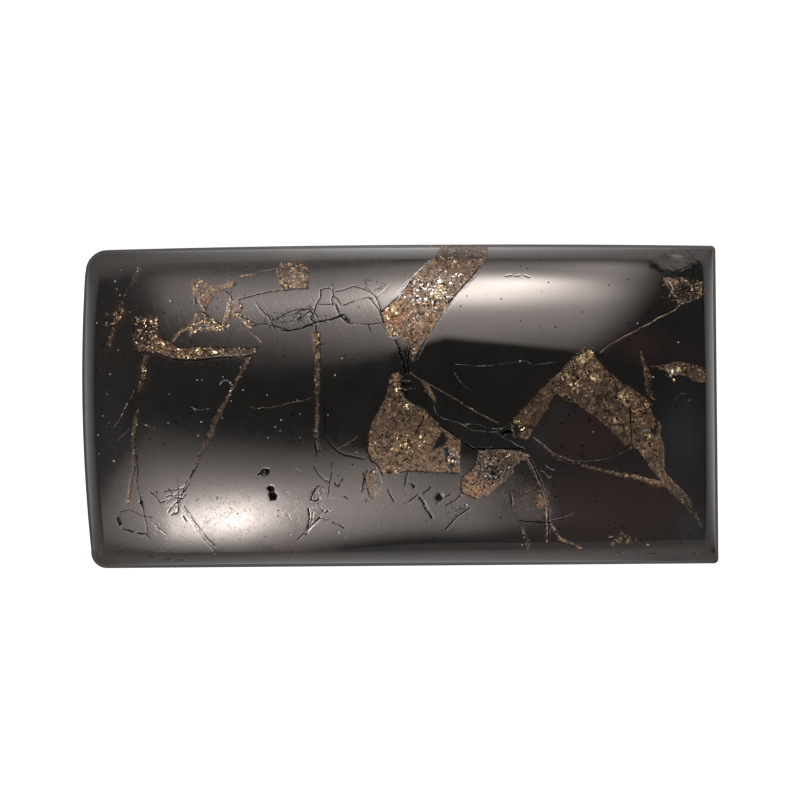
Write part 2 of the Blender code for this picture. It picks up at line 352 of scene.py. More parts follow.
# Windows of black stone inside the fields
WINDOWS = {
    "flame_triangle": [(443, 431), (447, 440), (444, 446), (436, 449), (431, 451), (437, 441)],
    "flame_pane": [(443, 449), (448, 447), (449, 457), (444, 459)],
    "flame_slot": [(445, 465), (452, 464), (456, 467), (449, 470)],
    "flame_mouth": [(401, 389), (410, 388), (413, 396), (411, 403), (404, 398)],
    "hook_eye": [(651, 429), (656, 428), (657, 434), (652, 437), (649, 434)],
    "island_bar": [(487, 473), (491, 471), (496, 475), (492, 478)],
    "hook_notch": [(512, 428), (517, 424), (520, 432), (515, 437)],
}

# Cracks: kind, width in pixels and line. Dark ones are open and painted black as the shade in them,
# bright ones are crushed white and partly painted glints, and stained ones are filled
CRACKS = {
    "band_foot_left": ("dark", 2.5, [(395, 340), (401, 352), (403, 362), (405, 373)]),
    "band_foot_right": ("dark", 2.0, [(412, 340), (409, 352), (408, 364), (409, 374)]),
    "eye_upper": ("bright", 1.1, [(399, 384), (404, 380), (411, 381)]),
    "eye_middle": ("dark", 2.0, [(398, 382), (405, 385), (412, 384)]),
    "eye_lower": ("bright", 1.1, [(399, 387), (405, 390), (412, 388)]),
    "eye_floor": ("dark", 2.2, [(400, 390), (407, 393), (414, 389)]),
    "long_one": (
        "stained", 2.2,
        [(410, 372), (420, 380), (428, 384), (440, 390), (452, 397), (465, 405), (480, 414),
         (488, 418), (497, 423)],
    ),
    "wedge_left": ("bright", 1.5, [(424, 391), (431, 396), (433, 400), (434, 408), (437, 414), (444, 419)]),
    "wedge_right": (
        "bright", 1.7,
        [(444, 419), (458, 423), (463, 424), (469, 429), (486, 432), (495, 432), (504, 438),
         (511, 441), (517, 445), (524, 449)],
    ),
    "rung_upper": ("bright", 1.4, [(465, 424), (478, 425), (496, 429), (503, 428), (511, 424)]),
    "rung_tie": ("bright", 1.4, [(497, 432), (503, 428)]),
    "lower_one": ("dark", 2.4, [(438, 424), (444, 428), (452, 433), (463, 442), (474, 449), (485, 450)]),
    "lower_two": ("dark", 2.2, [(474, 448), (500, 448), (512, 448), (524, 449)]),
    "lower_light": ("bright", 1.3, [(480, 452), (500, 451), (518, 453)]),
    "flame_slit": ("dark", 2.2, [(426, 412), (423, 420), (419, 427), (416, 434)]),
    "hair_right_one": (
        "bright", 0.9,
        [(455, 364), (475, 366), (488, 366), (510, 363), (520, 361), (528, 361), (532, 365),
         (557, 362)],
    ),
    "hair_right_two": ("bright", 0.8, [(454, 371), (457, 377), (462, 384), (472, 391)]),
    "slit_flat": ("dark", 1.6, [(609, 424), (617, 425), (625, 424)]),
    "slit_upright": ("dark", 2.0, [(630, 406), (631, 420), (631, 434), (631, 446)]),
    "slit_edge": ("bright", 1.2, [(633, 430), (634, 440), (635, 446)]),
    "tie_shadow": ("bright", 0.9, [(560, 460), (585, 461), (600, 460), (612, 457), (627, 451)]),
    "black_wedge": ("dark", 5.0, [(503, 433), (508, 431), (512, 432)]),
    "chip_tail": (
        "stained", 1.6,
        [(679, 305), (675, 310), (660, 317), (648, 324), (640, 328), (629, 334), (618, 340),
         (609, 344), (600, 352)],
    ),
    "stem_side": (
        "dark", 1.6,
        [(531, 460), (537, 472), (543, 487), (547, 500), (549, 515), (549, 530), (549, 543)],
    ),
    "band_right_edge": (
        "bright", 1.6,
        [(482, 266), (474, 277), (468, 284), (459, 294), (454, 300), (446, 312), (439, 322),
         (426, 341), (417, 360)],
    ),
    "band_right_line": (
        "dark", 1.5,
        [(480, 265), (472, 276), (457, 292), (451, 300), (443, 312), (436, 322)],
    ),
    "block_long": ("dark", 2.4, [(411, 281), (405, 288), (400, 295), (390, 304), (381, 312)]),
    "block_glint": ("bright", 1.4, [(409, 280), (402, 288), (396, 296), (387, 304)]),
    "block_left": ("dark", 2.0, [(376, 297), (378, 303), (381, 312), (384, 323)]),
    "block_top": ("bright", 1.4, [(377, 297), (385, 290), (390, 284)]),
    "centre_top": ("dark", 1.4, [(335, 292), (345, 289), (353, 286), (360, 288), (370, 292), (376, 297)]),
    "centre_row": ("dark", 1.6, [(343, 306), (350, 303), (358, 300), (366, 298), (372, 298)]),
    "centre_side": ("dark", 1.6, [(369, 298), (376, 306), (380, 312), (383, 322)]),
    "centre_step": ("dark", 2.6, [(336, 305), (337, 310), (339, 315), (345, 320), (349, 323)]),
    "centre_floor": ("dark", 1.4, [(349, 323), (358, 324), (368, 324), (380, 323)]),
    "centre_notch": ("dark", 1.4, [(333, 297), (338, 300), (341, 306)]),
    "grid_top": ("dark", 1.4, [(320, 290), (326, 288), (332, 289)]),
    "grid_left": ("dark", 1.6, [(320, 290), (321, 297), (315, 306), (314, 312), (317, 318)]),
    "grid_right": ("dark", 1.6, [(332, 288), (333, 295), (331, 299), (333, 305)]),
    "grid_row": ("dark", 1.4, [(318, 304), (326, 305), (334, 304)]),
    "grid_floor": ("dark", 3.6, [(315, 323), (325, 320), (333, 319), (343, 315), (349, 321)]),
    "grid_glint": ("bright", 1.8, [(320, 318), (328, 317), (334, 315), (341, 313)]),
    "leaf_one": ("dark", 1.6, [(272, 321), (279, 317), (286, 313), (295, 310), (302, 309), (313, 310)]),
    "leaf_two": ("dark", 1.5, [(281, 323), (290, 322), (297, 321), (305, 315), (309, 311)]),
    "leaf_three": ("dark", 1.8, [(279, 330), (287, 331), (293, 330), (306, 326), (315, 323)]),
    "leaf_four": ("dark", 1.4, [(292, 318), (296, 314), (301, 313), (300, 318), (295, 321)]),
    "leaf_knot": ("dark", 2.6, [(309, 311), (313, 314), (311, 319), (315, 323)]),
    "leaf_glint_one": ("bright", 1.6, [(306, 313), (310, 315), (308, 318)]),
    "leaf_glint_two": ("bright", 1.4, [(284, 318), (291, 315), (298, 311)]),
    "grid_tail": ("dark", 1.4, [(315, 325), (316, 333)]),
    "plumb_hook": ("dark", 1.8, [(317, 348), (319, 344), (323, 345)]),
    "floor_tail_one": ("dark", 1.3, [(381, 323), (384, 328), (386, 333)]),
    "floor_tail_two": ("dark", 1.3, [(368, 325), (369, 328), (370, 332)]),
    "sweep_upper": (
        "dark", 1.5,
        [(238, 300), (248, 297), (258, 294), (270, 292), (282, 290), (295, 289), (308, 288)],
    ),
    "sweep_top": ("stained", 1.4, [(240, 276), (250, 275), (260, 272), (270, 270), (277, 269)]),
    "patch_arc": ("dark", 1.4, [(225, 291), (230, 295), (232, 300)]),
    "net_one": ("dark", 1.3, [(255, 303), (262, 311), (270, 318), (274, 320)]),
    "net_two": ("dark", 1.5, [(274, 320), (290, 316), (300, 311), (310, 308)]),
    "net_three": ("dark", 1.5, [(275, 327), (291, 331), (300, 329), (312, 325)]),
    "net_four": ("dark", 1.3, [(268, 316), (271, 323), (275, 330)]),
    "net_five": ("stained", 1.4, [(248, 330), (255, 336), (262, 342)]),
    "net_six": ("dark", 1.3, [(250, 326), (262, 324), (275, 327)]),
    "nest_crack": ("dark", 2.0, [(195, 295), (196, 304)]),
    "bar_lower": (
        "dark", 1.8,
        [(157, 352), (167, 357), (175, 360), (187, 360), (200, 360), (221, 358), (240, 357),
         (251, 356)],
    ),
    "bar_glint": ("bright", 1.5, [(195, 357), (210, 357), (223, 355), (236, 355), (248, 354)]),
    "bar_streak": ("bright", 2.2, [(175, 351), (181, 354), (187, 357)]),
    "nest_left_edge": ("dark", 1.5, [(133, 320), (134, 335), (136, 348)]),
    "fork_tail": ("stained", 1.4, [(134, 390), (131, 397), (127, 404), (125, 408), (120, 418), (114, 428)]),
    "stem_twig": ("stained", 1.2, [(130, 428), (127, 432), (120, 437), (117, 441)]),
    "faint_arc": ("stained", 1.0, [(140, 423), (148, 426), (155, 429)]),
    "slant_foot_line": ("dark", 2.0, [(193, 470), (191, 480), (187, 487), (184, 492)]),
    "foot_net_one": ("dark", 1.5, [(166, 497), (170, 495), (176, 495), (182, 494)]),
    "foot_net_two": ("dark", 1.5, [(168, 500), (175, 498), (183, 499)]),
    "foot_net_three": ("dark", 1.3, [(168, 488), (172, 493), (171, 499), (167, 503)]),
    "foot_net_four": ("dark", 1.3, [(178, 486), (179, 493), (177, 501), (178, 508)]),
    "foot_blob": ("dark", 3.0, [(178, 508), (178, 512), (175, 514)]),
    "foot_long": (
        "bright", 1.8,
        [(182, 508), (186, 514), (190, 520), (195, 527), (198, 531), (205, 542), (212, 550),
         (215, 553)],
    ),
    "foot_long_shadow": ("dark", 1.5, [(184, 506), (192, 518), (200, 529), (208, 539), (215, 546)]),
    "foot_down": ("dark", 1.4, [(215, 552), (213, 557), (211, 561)]),
    "plumb_left": ("dark", 1.8, [(315, 441), (316, 446), (317, 452), (316, 456)]),
    "plumb_right": ("dark", 1.5, [(318, 446), (320, 451)]),
    "second_line": (
        "dark", 1.3,
        [(320, 395), (323, 398), (324, 405), (325, 418), (326, 433), (328, 440), (331, 444),
         (337, 451)],
    ),
    "cross_line": (
        "stained", 1.1,
        [(250, 407), (257, 409), (262, 407), (267, 408), (280, 406), (288, 403), (303, 401),
         (315, 397)],
    ),
    "faint_left": ("bright", 0.8, [(190, 407), (200, 410), (212, 408)]),
    "shelf_one": ("dark", 1.8, [(337, 451), (346, 455), (352, 456), (359, 458), (364, 459), (368, 456)]),
    "shelf_two": ("stained", 1.2, [(338, 449), (349, 443), (354, 440), (357, 437)]),
    "low_one": ("dark", 1.6, [(314, 466), (318, 474), (324, 480), (329, 482)]),
    "low_two": ("dark", 2.2, [(318, 486), (313, 495), (310, 500), (318, 501)]),
    "low_three": ("bright", 1.6, [(322, 488), (323, 493), (326, 499), (320, 499), (318, 492)]),
    "low_vee_left": ("dark", 2.0, [(335, 482), (338, 487), (341, 482)]),
    "low_four": ("dark", 1.6, [(344, 496), (346, 497), (348, 499)]),
    "low_five": ("dark", 1.8, [(309, 509), (309, 515)]),
    "low_thick": ("dark", 2.8, [(306, 535), (309, 529), (315, 522), (320, 517)]),
    "low_thick_tail": ("dark", 2.0, [(320, 518), (327, 520), (338, 524), (344, 528)]),
    "mid_one": ("dark", 1.4, [(366, 478), (365, 484), (364, 490)]),
    "mid_two": ("dark", 1.4, [(388, 490), (391, 496), (394, 502)]),
    "mid_three": ("dark", 1.4, [(408, 473), (406, 479), (405, 486)]),
    "mid_four": ("dark", 3.0, [(412, 484), (415, 486), (414, 488)]),
    "mid_thick": ("dark", 2.6, [(420, 497), (424, 503), (425, 508), (429, 513), (432, 518)]),
    "mid_thick_light": ("bright", 1.4, [(423, 499), (427, 506), (434, 517)]),
    "mid_dash": ("dark", 1.8, [(511, 495), (512, 500), (512, 505)]),
    "island_one": ("dark", 2.2, [(488, 466), (494, 468), (500, 465)]),
    "island_two": ("dark", 2.0, [(487, 471), (493, 474), (499, 472), (502, 469)]),
    "island_three": ("dark", 2.2, [(485, 477), (491, 480), (497, 479), (501, 475)]),
    "island_four": ("dark", 1.8, [(484, 483), (489, 485), (494, 484)]),
    "island_glint_one": ("bright", 1.3, [(488, 469), (494, 471), (500, 469)]),
    "island_glint_two": ("bright", 1.3, [(486, 474), (492, 477), (497, 476)]),
    "island_left": ("dark", 1.8, [(481, 466), (480, 474), (477, 481), (472, 486)]),
    "comma": ("bright", 3.4, [(221, 383), (223, 380), (227, 380), (231, 383)]),
    "dash_one": ("dark", 1.2, [(505, 276), (512, 275)]),
    "dash_two": ("dark", 1.2, [(515, 276), (520, 275)]),
    "dash_three": ("dark", 1.2, [(524, 275), (530, 277)]),
    "scuff_one": ("bright", 1.4, [(540, 470), (545, 473), (549, 478)]),
    "scuff_two": ("bright", 1.2, [(545, 465), (551, 469), (556, 470)]),
    "scuff_three": ("bright", 1.2, [(552, 455), (558, 460), (566, 462)]),
    "low_row_one": ("dark", 2.0, [(424, 494), (428, 491), (431, 487)]),
    "low_row_two": ("dark", 1.4, [(405, 504), (412, 500), (418, 494)]),
    "low_row_three": ("dark", 1.4, [(436, 504), (444, 498), (452, 494)]),
    "low_row_four": ("dark", 1.6, [(446, 530), (452, 522), (458, 516), (470, 508)]),
    "low_row_five": ("dark", 1.4, [(446, 506), (456, 500), (464, 492)]),
    "spread_edge": ("dark", 1.6, [(362, 492), (364, 480), (368, 470)]),
    "chip_point": ("dark", 1.8, [(670, 265), (676, 268), (680, 270), (684, 267), (688, 266)]),
    "chip_curve": ("bright", 1.2, [(683, 250), (690, 258), (694, 262), (698, 262)]),
    "chip_arc": ("dark", 1.6, [(686, 250), (690, 254), (692, 259), (690, 264)]),
    "pocket_line": ("bright", 1.2, [(698, 256), (703, 262), (708, 268), (710, 276)]),
    "foot_ray_one": ("dark", 1.8, [(186, 494), (179, 500), (172, 506), (168, 512)]),
    "foot_ray_two": ("dark", 1.5, [(163, 492), (170, 490), (176, 490), (184, 488)]),
    "foot_ray_three": ("dark", 1.6, [(150, 492), (156, 496), (160, 503), (168, 500)]),
    "left_scratch_one": ("dark", 1.3, [(120, 512), (130, 510), (140, 515), (152, 518)]),
    "left_scratch_two": ("dark", 1.3, [(150, 520), (158, 528), (166, 534)]),
    "foot_thick": ("dark", 3.0, [(140, 497), (141, 502), (143, 508)]),
    "foot_thick_tail": ("dark", 1.5, [(143, 508), (145, 518), (147, 527), (148, 534)]),
    "stem_border": ("dark", 1.3, [(136, 455), (137, 470), (137, 485), (139, 496)]),
    "low_left_blob": ("dark", 3.2, [(117, 517), (118, 521), (120, 525)]),
    "low_left_dash_one": ("dark", 2.8, [(123, 529), (128, 530), (133, 532)]),
    "low_left_dash_two": ("dark", 2.4, [(137, 533), (142, 534), (146, 534), (149, 539)]),
    "foot_white_one": ("bright", 2.4, [(171, 498), (178, 491), (186, 484)]),
    "foot_white_two": ("bright", 2.0, [(164, 507), (172, 506), (180, 505)]),
    "foot_white_three": ("bright", 1.6, [(172, 493), (178, 496), (184, 497)]),
    "slant_second": ("dark", 1.7, [(199, 463), (193, 472), (187, 481), (183, 490), (179, 503)]),
    "foot_blob_two": ("dark", 2.8, [(171, 515), (174, 513)]),
    "foot_blob_three": ("dark", 2.4, [(183, 516), (186, 521)]),
    "white_dash": ("bright", 1.8, [(295, 469), (300, 472)]),
    "pit_dash": ("bright", 2.0, [(256, 478), (261, 477), (264, 476)]),
    "pit_arm": ("dark", 3.2, [(258, 475), (263, 471), (268, 470)]),
    "pit_head": ("dark", 3.0, [(267, 488), (271, 489), (275, 493)]),
    "pit_glint": ("bright", 1.6, [(262, 473), (266, 473)]),
    "ring_one": ("dark", 2.0, [(321, 485), (315, 489), (312, 495), (311, 500), (318, 501), (321, 495)]),
    "ring_glint": ("bright", 1.8, [(318, 488), (315, 493), (316, 498)]),
    "knee_side": ("dark", 1.5, [(333, 462), (332, 470), (331, 476), (330, 483), (328, 497)]),
    "knee_glint": ("bright", 1.6, [(321, 475), (326, 479), (330, 481)]),
    "low_vee_right": ("dark", 2.0, [(339, 486), (343, 479)]),
    "low_arm": ("dark", 2.4, [(308, 508), (310, 515), (309, 520), (306, 530)]),
    "low_arm_two": ("dark", 1.6, [(313, 512), (312, 520), (305, 532), (297, 540)]),
    "tuft": ("dark", 2.0, [(321, 509), (326, 513), (331, 509)]),
    "tuft_glint": ("bright", 1.6, [(322, 512), (327, 508), (332, 512)]),
    "low_edge_glint": ("bright", 1.3, [(308, 531), (314, 525), (321, 519), (330, 521), (343, 526)]),
    "low_left_tick": ("dark", 1.6, [(118, 516), (121, 524)]),
    "rim_dash_one": ("dark", 1.8, [(150, 557), (168, 559), (185, 561)]),
    "rim_dash_two": ("dark", 1.4, [(592, 551), (615, 552), (640, 553), (662, 554)]),
    "rim_dash_light": ("bright", 1.4, [(596, 553), (620, 554), (645, 555)]),
    "branch_light": ("bright", 1.4, [(545, 521), (560, 518), (575, 513)]),
    "branch_dark": ("dark", 1.6, [(520, 521), (535, 522), (552, 523)]),
    "wedge_line": ("stained", 1.4, [(664, 365), (676, 362), (690, 364), (704, 368)]),
    "faint_ring": ("stained", 1.1, [(675, 398), (681, 393), (688, 395), (690, 400), (684, 404)]),
    "stain_ring": ("dark", 1.4, [(662, 284), (668, 282), (672, 288), (669, 296), (662, 297)]),
}

# Nicks and dust, as places: bright specks of about a pixel
SPECKS = [
    (121, 270), (120, 295), (117, 289), (115, 281), (136, 317), (130, 312), (171, 301), (118, 350),
    (153, 352), (169, 353), (88, 375), (110, 374), (107, 394), (95, 399), (103, 416), (109, 423),
    (98, 435), (99, 454), (114, 461), (168, 423), (169, 394), (197, 380), (202, 380), (243, 390),
    (267, 395), (297, 400), (275, 427), (280, 431), (281, 420), (268, 438), (300, 438), (198, 436),
    (222, 418), (201, 422), (195, 410), (300, 414), (335, 375), (328, 415), (342, 358), (356, 453),
    (355, 259), (678, 342), (593, 432), (653, 377), (667, 365), (223, 377), (232, 385), (231, 388),
    (230, 395), (231, 401), (219, 410), (220, 384), (225, 380), (230, 383), (324, 512), (328, 511),
    (338, 532), (345, 537), (288, 515), (290, 534), (637, 323), (134, 450), (143, 369), (315, 380),
    (612, 472), (550, 477), (127, 404), (125, 408), (520, 361), (522, 545), (523, 533), (466, 505),
]

# Flecks of bare gold: place and radius in pixels
GOLD_SPOTS = [
    (97, 324, 2), (101, 324, 2), (107, 324, 2), (112, 324, 2), (107, 314, 2), (116, 314, 3),
    (122, 311, 4), (119, 318, 3), (396, 389, 3), (408, 407, 3), (406, 439, 4), (401, 449, 7),
    (404, 456, 5), (397, 443, 4), (373, 446, 3), (421, 440, 5), (434, 431, 3), (425, 415, 2),
    (396, 474, 5), (384, 470, 4), (577, 358, 5), (584, 353, 5), (590, 352, 4), (581, 363, 3),
    (574, 380, 4), (575, 388, 4), (562, 376, 3), (589, 388, 3), (585, 375, 3), (594, 377, 3),
    (622, 396, 4), (629, 396, 3), (626, 401, 3), (616, 421, 3), (648, 405, 3), (638, 411, 4),
    (641, 421, 3), (650, 436, 4), (648, 446, 4), (642, 450, 3), (630, 448, 2), (653, 398, 2),
    (682, 501, 2), (671, 374, 4), (674, 380, 3), (678, 368, 3), (675, 282, 3), (686, 281, 2),
    (692, 288, 2), (697, 288, 2), (701, 290, 3), (611, 537, 2), (617, 541, 4), (622, 537, 5),
    (629, 540, 4), (613, 544, 3), (636, 539, 2), (648, 545, 2), (682, 552, 2), (697, 553, 2),
    (440, 290, 5), (393, 306, 4), (390, 311, 5), (392, 331, 3), (434, 300, 5), (452, 262, 3),
    (200, 350, 3), (213, 351, 2), (220, 349, 3), (205, 349, 2), (150, 348, 3), (156, 344, 3),
    (163, 346, 2), (178, 353, 3), (186, 357, 2), (139, 321, 3), (145, 321, 4), (152, 323, 4),
    (139, 331, 3), (154, 331, 3), (190, 327, 3), (198, 328, 4), (207, 327, 5), (218, 328, 5),
    (227, 327, 3), (241, 327, 3), (248, 326, 2), (202, 316, 3), (211, 321, 4), (200, 282, 4),
    (194, 290, 3), (212, 290, 4), (230, 283, 4), (232, 301, 3), (231, 313, 4), (239, 315, 4),
    (243, 320, 3), (282, 265, 4), (294, 270, 5), (302, 270, 5), (290, 284, 4), (284, 287, 3),
    (281, 279, 4), (497, 462, 3), (506, 458, 4), (487, 462, 3), (517, 421, 3), (523, 430, 3),
    (541, 498, 3), (480, 455, 3), (470, 486, 4), (134, 452, 2), (448, 462, 3), (452, 452, 3),
    (628, 476, 2), (145, 370, 2), (143, 378, 2),
]

# Where the filling is bright silver: place, radii along x and y in pixels, and strength
SILVER_AREAS = [
    (436, 291, 20, 14, 0.9), (452, 280, 14, 8, 0.6), (416, 300, 16, 10, 0.6), (416, 318, 10, 10, 0.3),
    (294, 270, 12, 9, 0.2), (205, 324, 18, 6, 0.25), (146, 328, 10, 12, 0.35), (316, 434, 4, 14, 0.6),
    (384, 480, 14, 14, 0.4), (492, 470, 18, 12, 0.35), (452, 455, 8, 12, 0.5),
    (671, 373, 8, 8, 0.4), (645, 432, 10, 12, 0.15),
]

# Soft rust stains in and beside the veins: place, radii and strength
RUST_AREAS = [
    (455, 262, 24, 14, 0.4), (392, 316, 14, 16, 1.0), (380, 488, 12, 12, 0.6), (300, 530, 22, 30, 0.25),
    (97, 549, 7, 10, 1.0), (115, 562, 14, 5, 0.5), (294, 262, 14, 16, 0.9), (130, 487, 8, 16, 0.5),
    (500, 485, 20, 14, 0.5), (450, 440, 20, 16, 0.2), (540, 500, 8, 10, 0.8), (470, 490, 16, 12, 0.8),
    (208, 288, 26, 10, 0.8), (234, 308, 14, 16, 0.9), (205, 326, 26, 8, 0.8), (146, 332, 16, 18, 0.5),
    (190, 352, 50, 8, 0.4), (120, 314, 8, 8, 0.9), (108, 345, 14, 24, 0.3), (143, 376, 5, 14, 0.6),
    (129, 484, 9, 24, 0.8), (282, 548, 28, 10, 0.7), (222, 490, 28, 5, 0.4), (420, 330, 12, 18, 0.6),
    (655, 485, 14, 8, 0.5), (520, 500, 18, 14, 0.5), (345, 330, 22, 8, 0.4), (684, 292, 22, 14, 0.35),
    (548, 404, 20, 30, 0.25), (330, 338, 24, 8, 0.3),
]

# Where the filling is sparse, and the black shows between its grains: place, radii and strength
SPARSE_AREAS = [
    (205, 288, 30, 14, 0.8), (235, 306, 16, 18, 0.8), (208, 322, 28, 14, 0.7), (128, 300, 16, 56, 1.0),
    (146, 330, 20, 18, 1.0), (225, 352, 34, 8, 0.5), (462, 252, 40, 18, 0.35), (292, 266, 24, 22, 0.9),
    (500, 470, 26, 24, 0.7), (540, 500, 10, 14, 0.4), (695, 370, 20, 10, 0.4), (648, 380, 8, 28, 0.5),
    (684, 290, 28, 18, 1.0), (300, 545, 30, 16, 0.7), (380, 487, 18, 18, 0.8), (132, 480, 10, 34, 0.8),
    (590, 464, 50, 10, 0.5), (200, 455, 18, 30, 0.6), (240, 375, 16, 30, 0.4), (420, 330, 10, 24, 0.5),
    (530, 540, 24, 20, 0.8), (100, 350, 14, 32, 1.0), (316, 385, 7, 56, 0.35), (143, 375, 8, 24, 0.6),
    (540, 482, 22, 34, 0.8), (694, 516, 14, 20, 0.6), (660, 490, 14, 14, 0.2), (396, 330, 16, 12, 0.4),
    (475, 487, 18, 10, 0.4),
]

# Where the filling is dim and without a gloss: place, radii and strength
DIM_AREAS = [
    (456, 256, 34, 17, 1.0), (686, 506, 20, 28, 1.0), (496, 466, 24, 14, 0.6), (225, 352, 40, 8, 0.45),
    (317, 385, 6, 50, 0.4), (215, 425, 22, 60, 0.5), (535, 415, 22, 24, 0.35), (135, 440, 8, 50, 0.5),
    (684, 292, 26, 16, 0.8), (128, 300, 14, 50, 0.8), (540, 480, 20, 40, 0.5), (580, 465, 40, 10, 0.5),
    (380, 487, 16, 16, 0.3), (650, 380, 8, 26, 0.4),
]

# How the black itself differs: brown-black and blue-black parts, as place, radii and strength
BROWN_PARTS = [
    (585, 435, 45, 30, 1.0), (600, 505, 75, 38, 1.0), (650, 510, 40, 30, 0.9), (640, 345, 26, 16, 0.9),
    (690, 355, 18, 10, 0.5),
]
BLUE_PARTS = [
    (684, 432, 24, 42, 1.0), (690, 524, 16, 20, 0.8), (540, 440, 12, 18, 0.7), (112, 440, 12, 50, 0.5),
    (128, 508, 9, 6, 0.7), (446, 453, 5, 8, 1.0), (560, 412, 14, 10, 0.6),
]

# Parts that are crushed to a fine net of cracks, drawn as black lines of painted shade with white chips of
# painted glints: place, radii and strength
CRUSHED_AREAS = [
    (288, 317, 26, 9, 1.0), (270, 324, 9, 12, 0.9), (309, 312, 8, 9, 1.0), (325, 320, 14, 7, 0.8),
    (372, 285, 22, 8, 0.8), (455, 512, 20, 13, 0.7), (492, 474, 12, 14, 0.9),
    (318, 494, 10, 12, 0.9), (438, 497, 9, 6, 0.7), (145, 332, 12, 14, 0.6), (400, 350, 9, 14, 0.65),
    (238, 312, 10, 14, 0.6), (316, 520, 12, 10, 0.6), (405, 380, 8, 8, 0.7),
    (100, 330, 10, 14, 0.5), (560, 530, 26, 10, 0.5), (540, 470, 16, 14, 0.5), (345, 335, 24, 8, 0.5),
    (690, 262, 14, 10, 0.9), (195, 300, 20, 30, 0.5), (205, 520, 20, 16, 0.5), (330, 512, 20, 20, 0.5),
]

# Parts whose polish is dull, as outlines with the dullness from 0 to 1
DULL_PARTS = {
    "left_half": (
        0.55,
        [(80, 240), (400, 240), (385, 310), (395, 350), (390, 380), (365, 440), (345, 470),
         (345, 570), (80, 570)],
    ),
    "under_the_flame": (0.5, [(345, 470), (520, 470), (545, 500), (545, 525), (470, 535), (345, 545)]),
    "stem_scuff": (0.8, [(520, 485), (548, 485), (560, 512), (545, 522), (515, 522)]),
    "chip": (0.9, [(650, 245), (692, 246), (694, 262), (681, 271), (664, 267), (651, 257)]),
    "top_strip": (0.35, [(480, 240), (660, 240), (655, 262), (480, 262)]),
}

# Small holes in the polish, painted black inside as shade: place, radius and depth in millimetres
PITS = [
    ((265, 472), 0.27, 0.12), ((271, 489), 0.22, 0.1), ((273, 496), 0.27, 0.12),
    ((141, 503), 0.1, 0.05), ((440, 497), 0.22, 0.05), ((118, 313), 0.16, 0.04),
]
FLAKE_PLACE = (672, 257)
FLAKE_RADIUS = 4.0
FLAKE_DEPTH = 0.18


# Noise


def hashed(cells, seed):
    """A steady random number from 0 to 1 for each cell of a lattice."""
    cells = cells.astype(np.uint64)
    value = cells[..., 0] * np.uint64(73856093) ^ cells[..., 1] * np.uint64(19349663)
    value ^= cells[..., 2] * np.uint64(83492791) ^ np.uint64(seed * 2654435761)
    value ^= value >> np.uint64(15)
    value *= np.uint64(0x2C1B3C6D)
    value ^= value >> np.uint64(12)
    value *= np.uint64(0x297A2D39)
    value ^= value >> np.uint64(15)
    return (value & np.uint64(0xFFFFFF)).astype(float) / 0xFFFFFF


def soft_noise(points, size, seed):
    """Smooth noise from -1 to 1, with hills of this size."""
    scaled = points / size
    base = np.floor(scaled).astype(np.int64)
    part = scaled - base
    part = part * part * (3 - 2 * part)
    total = np.zeros(len(points))
    for corner in itertools.product((0, 1), repeat=3):
        share = np.prod(np.where(np.array(corner) == 1, part, 1 - part), axis=1)
        total += share * hashed(base + np.array(corner), seed)
    return total * 2 - 1


def grains(points, size, seed):
    """For each point, its offset from the middle of the grain it is in, and two numbers of that grain."""
    scaled = points / size
    base = np.floor(scaled).astype(np.int64)
    best = np.full(len(points), 9.0)
    offset = np.zeros((len(points), 3))
    first, second = np.zeros(len(points)), np.zeros(len(points))
    for corner in itertools.product((-1, 0, 1), repeat=3):
        cell = base + np.array(corner)
        middle = cell + np.stack([hashed(cell, seed + k) for k in range(3)], -1)
        away = scaled - middle
        distance = np.linalg.norm(away, axis=1)
        nearer = distance < best
        best[nearer] = distance[nearer]
        offset[nearer] = away[nearer]
        first[nearer] = hashed(cell[nearer], seed + 3)
        second[nearer] = hashed(cell[nearer], seed + 4)
    return offset * size, first, second


# Lines and outlines


def resampled(line, spacing, closed=False):
    """The same line with its points at an even spacing."""
    if closed:
        line = np.concatenate([line, line[:1]])
    steps = np.linalg.norm(np.diff(line, axis=0), axis=1)
    reach = np.concatenate([[0.0], np.cumsum(steps)])
    count = max(2, round(reach[-1] / spacing) + 1)
    places = np.linspace(0, reach[-1], count)
    made = np.stack([np.interp(places, reach, line[:, k]) for k in (0, 1)], -1)
    return made[:-1] if closed else made


def sideways(line, closed=False):
    """The unit direction to the left of the line at each of its points."""
    if closed:
        run = np.roll(line, -1, axis=0) - np.roll(line, 1, axis=0)
    else:
        run = np.gradient(line, axis=0)
    run /= np.maximum(np.linalg.norm(run, axis=1, keepdims=True), 1e-9)
    return np.stack([-run[:, 1], run[:, 0]], -1)


def ragged(line, amount, seed, closed=False):
    """The line, shaken from side to side as a broken edge is."""
    flat = np.concatenate([line, np.zeros((len(line), 1))], 1)
    shake = sum(soft_noise(flat, size, seed + later) * share for size, share, later in RAGGED_WAVES)
    return line + sideways(line, closed) * shake[:, None] * amount


def swelling_outline(pixels):
    """The closed outline of a vein, from its middle line and its widths."""
    middle = np.array([(px, py) for px, py, _ in pixels], float)
    widths = np.array([width for _, _, width in pixels], float)
    steps = np.concatenate([[0.0], np.cumsum(np.linalg.norm(np.diff(middle, axis=0), axis=1))])
    places = np.linspace(0, steps[-1], 2 * len(pixels) + 1)
    middle = np.stack([np.interp(places, steps, middle[:, k]) for k in (0, 1)], -1)
    half = np.interp(places, steps, widths)[:, None] / 2
    side = sideways(middle)
    return np.concatenate([middle + side * half, (middle - side * half)[::-1]])


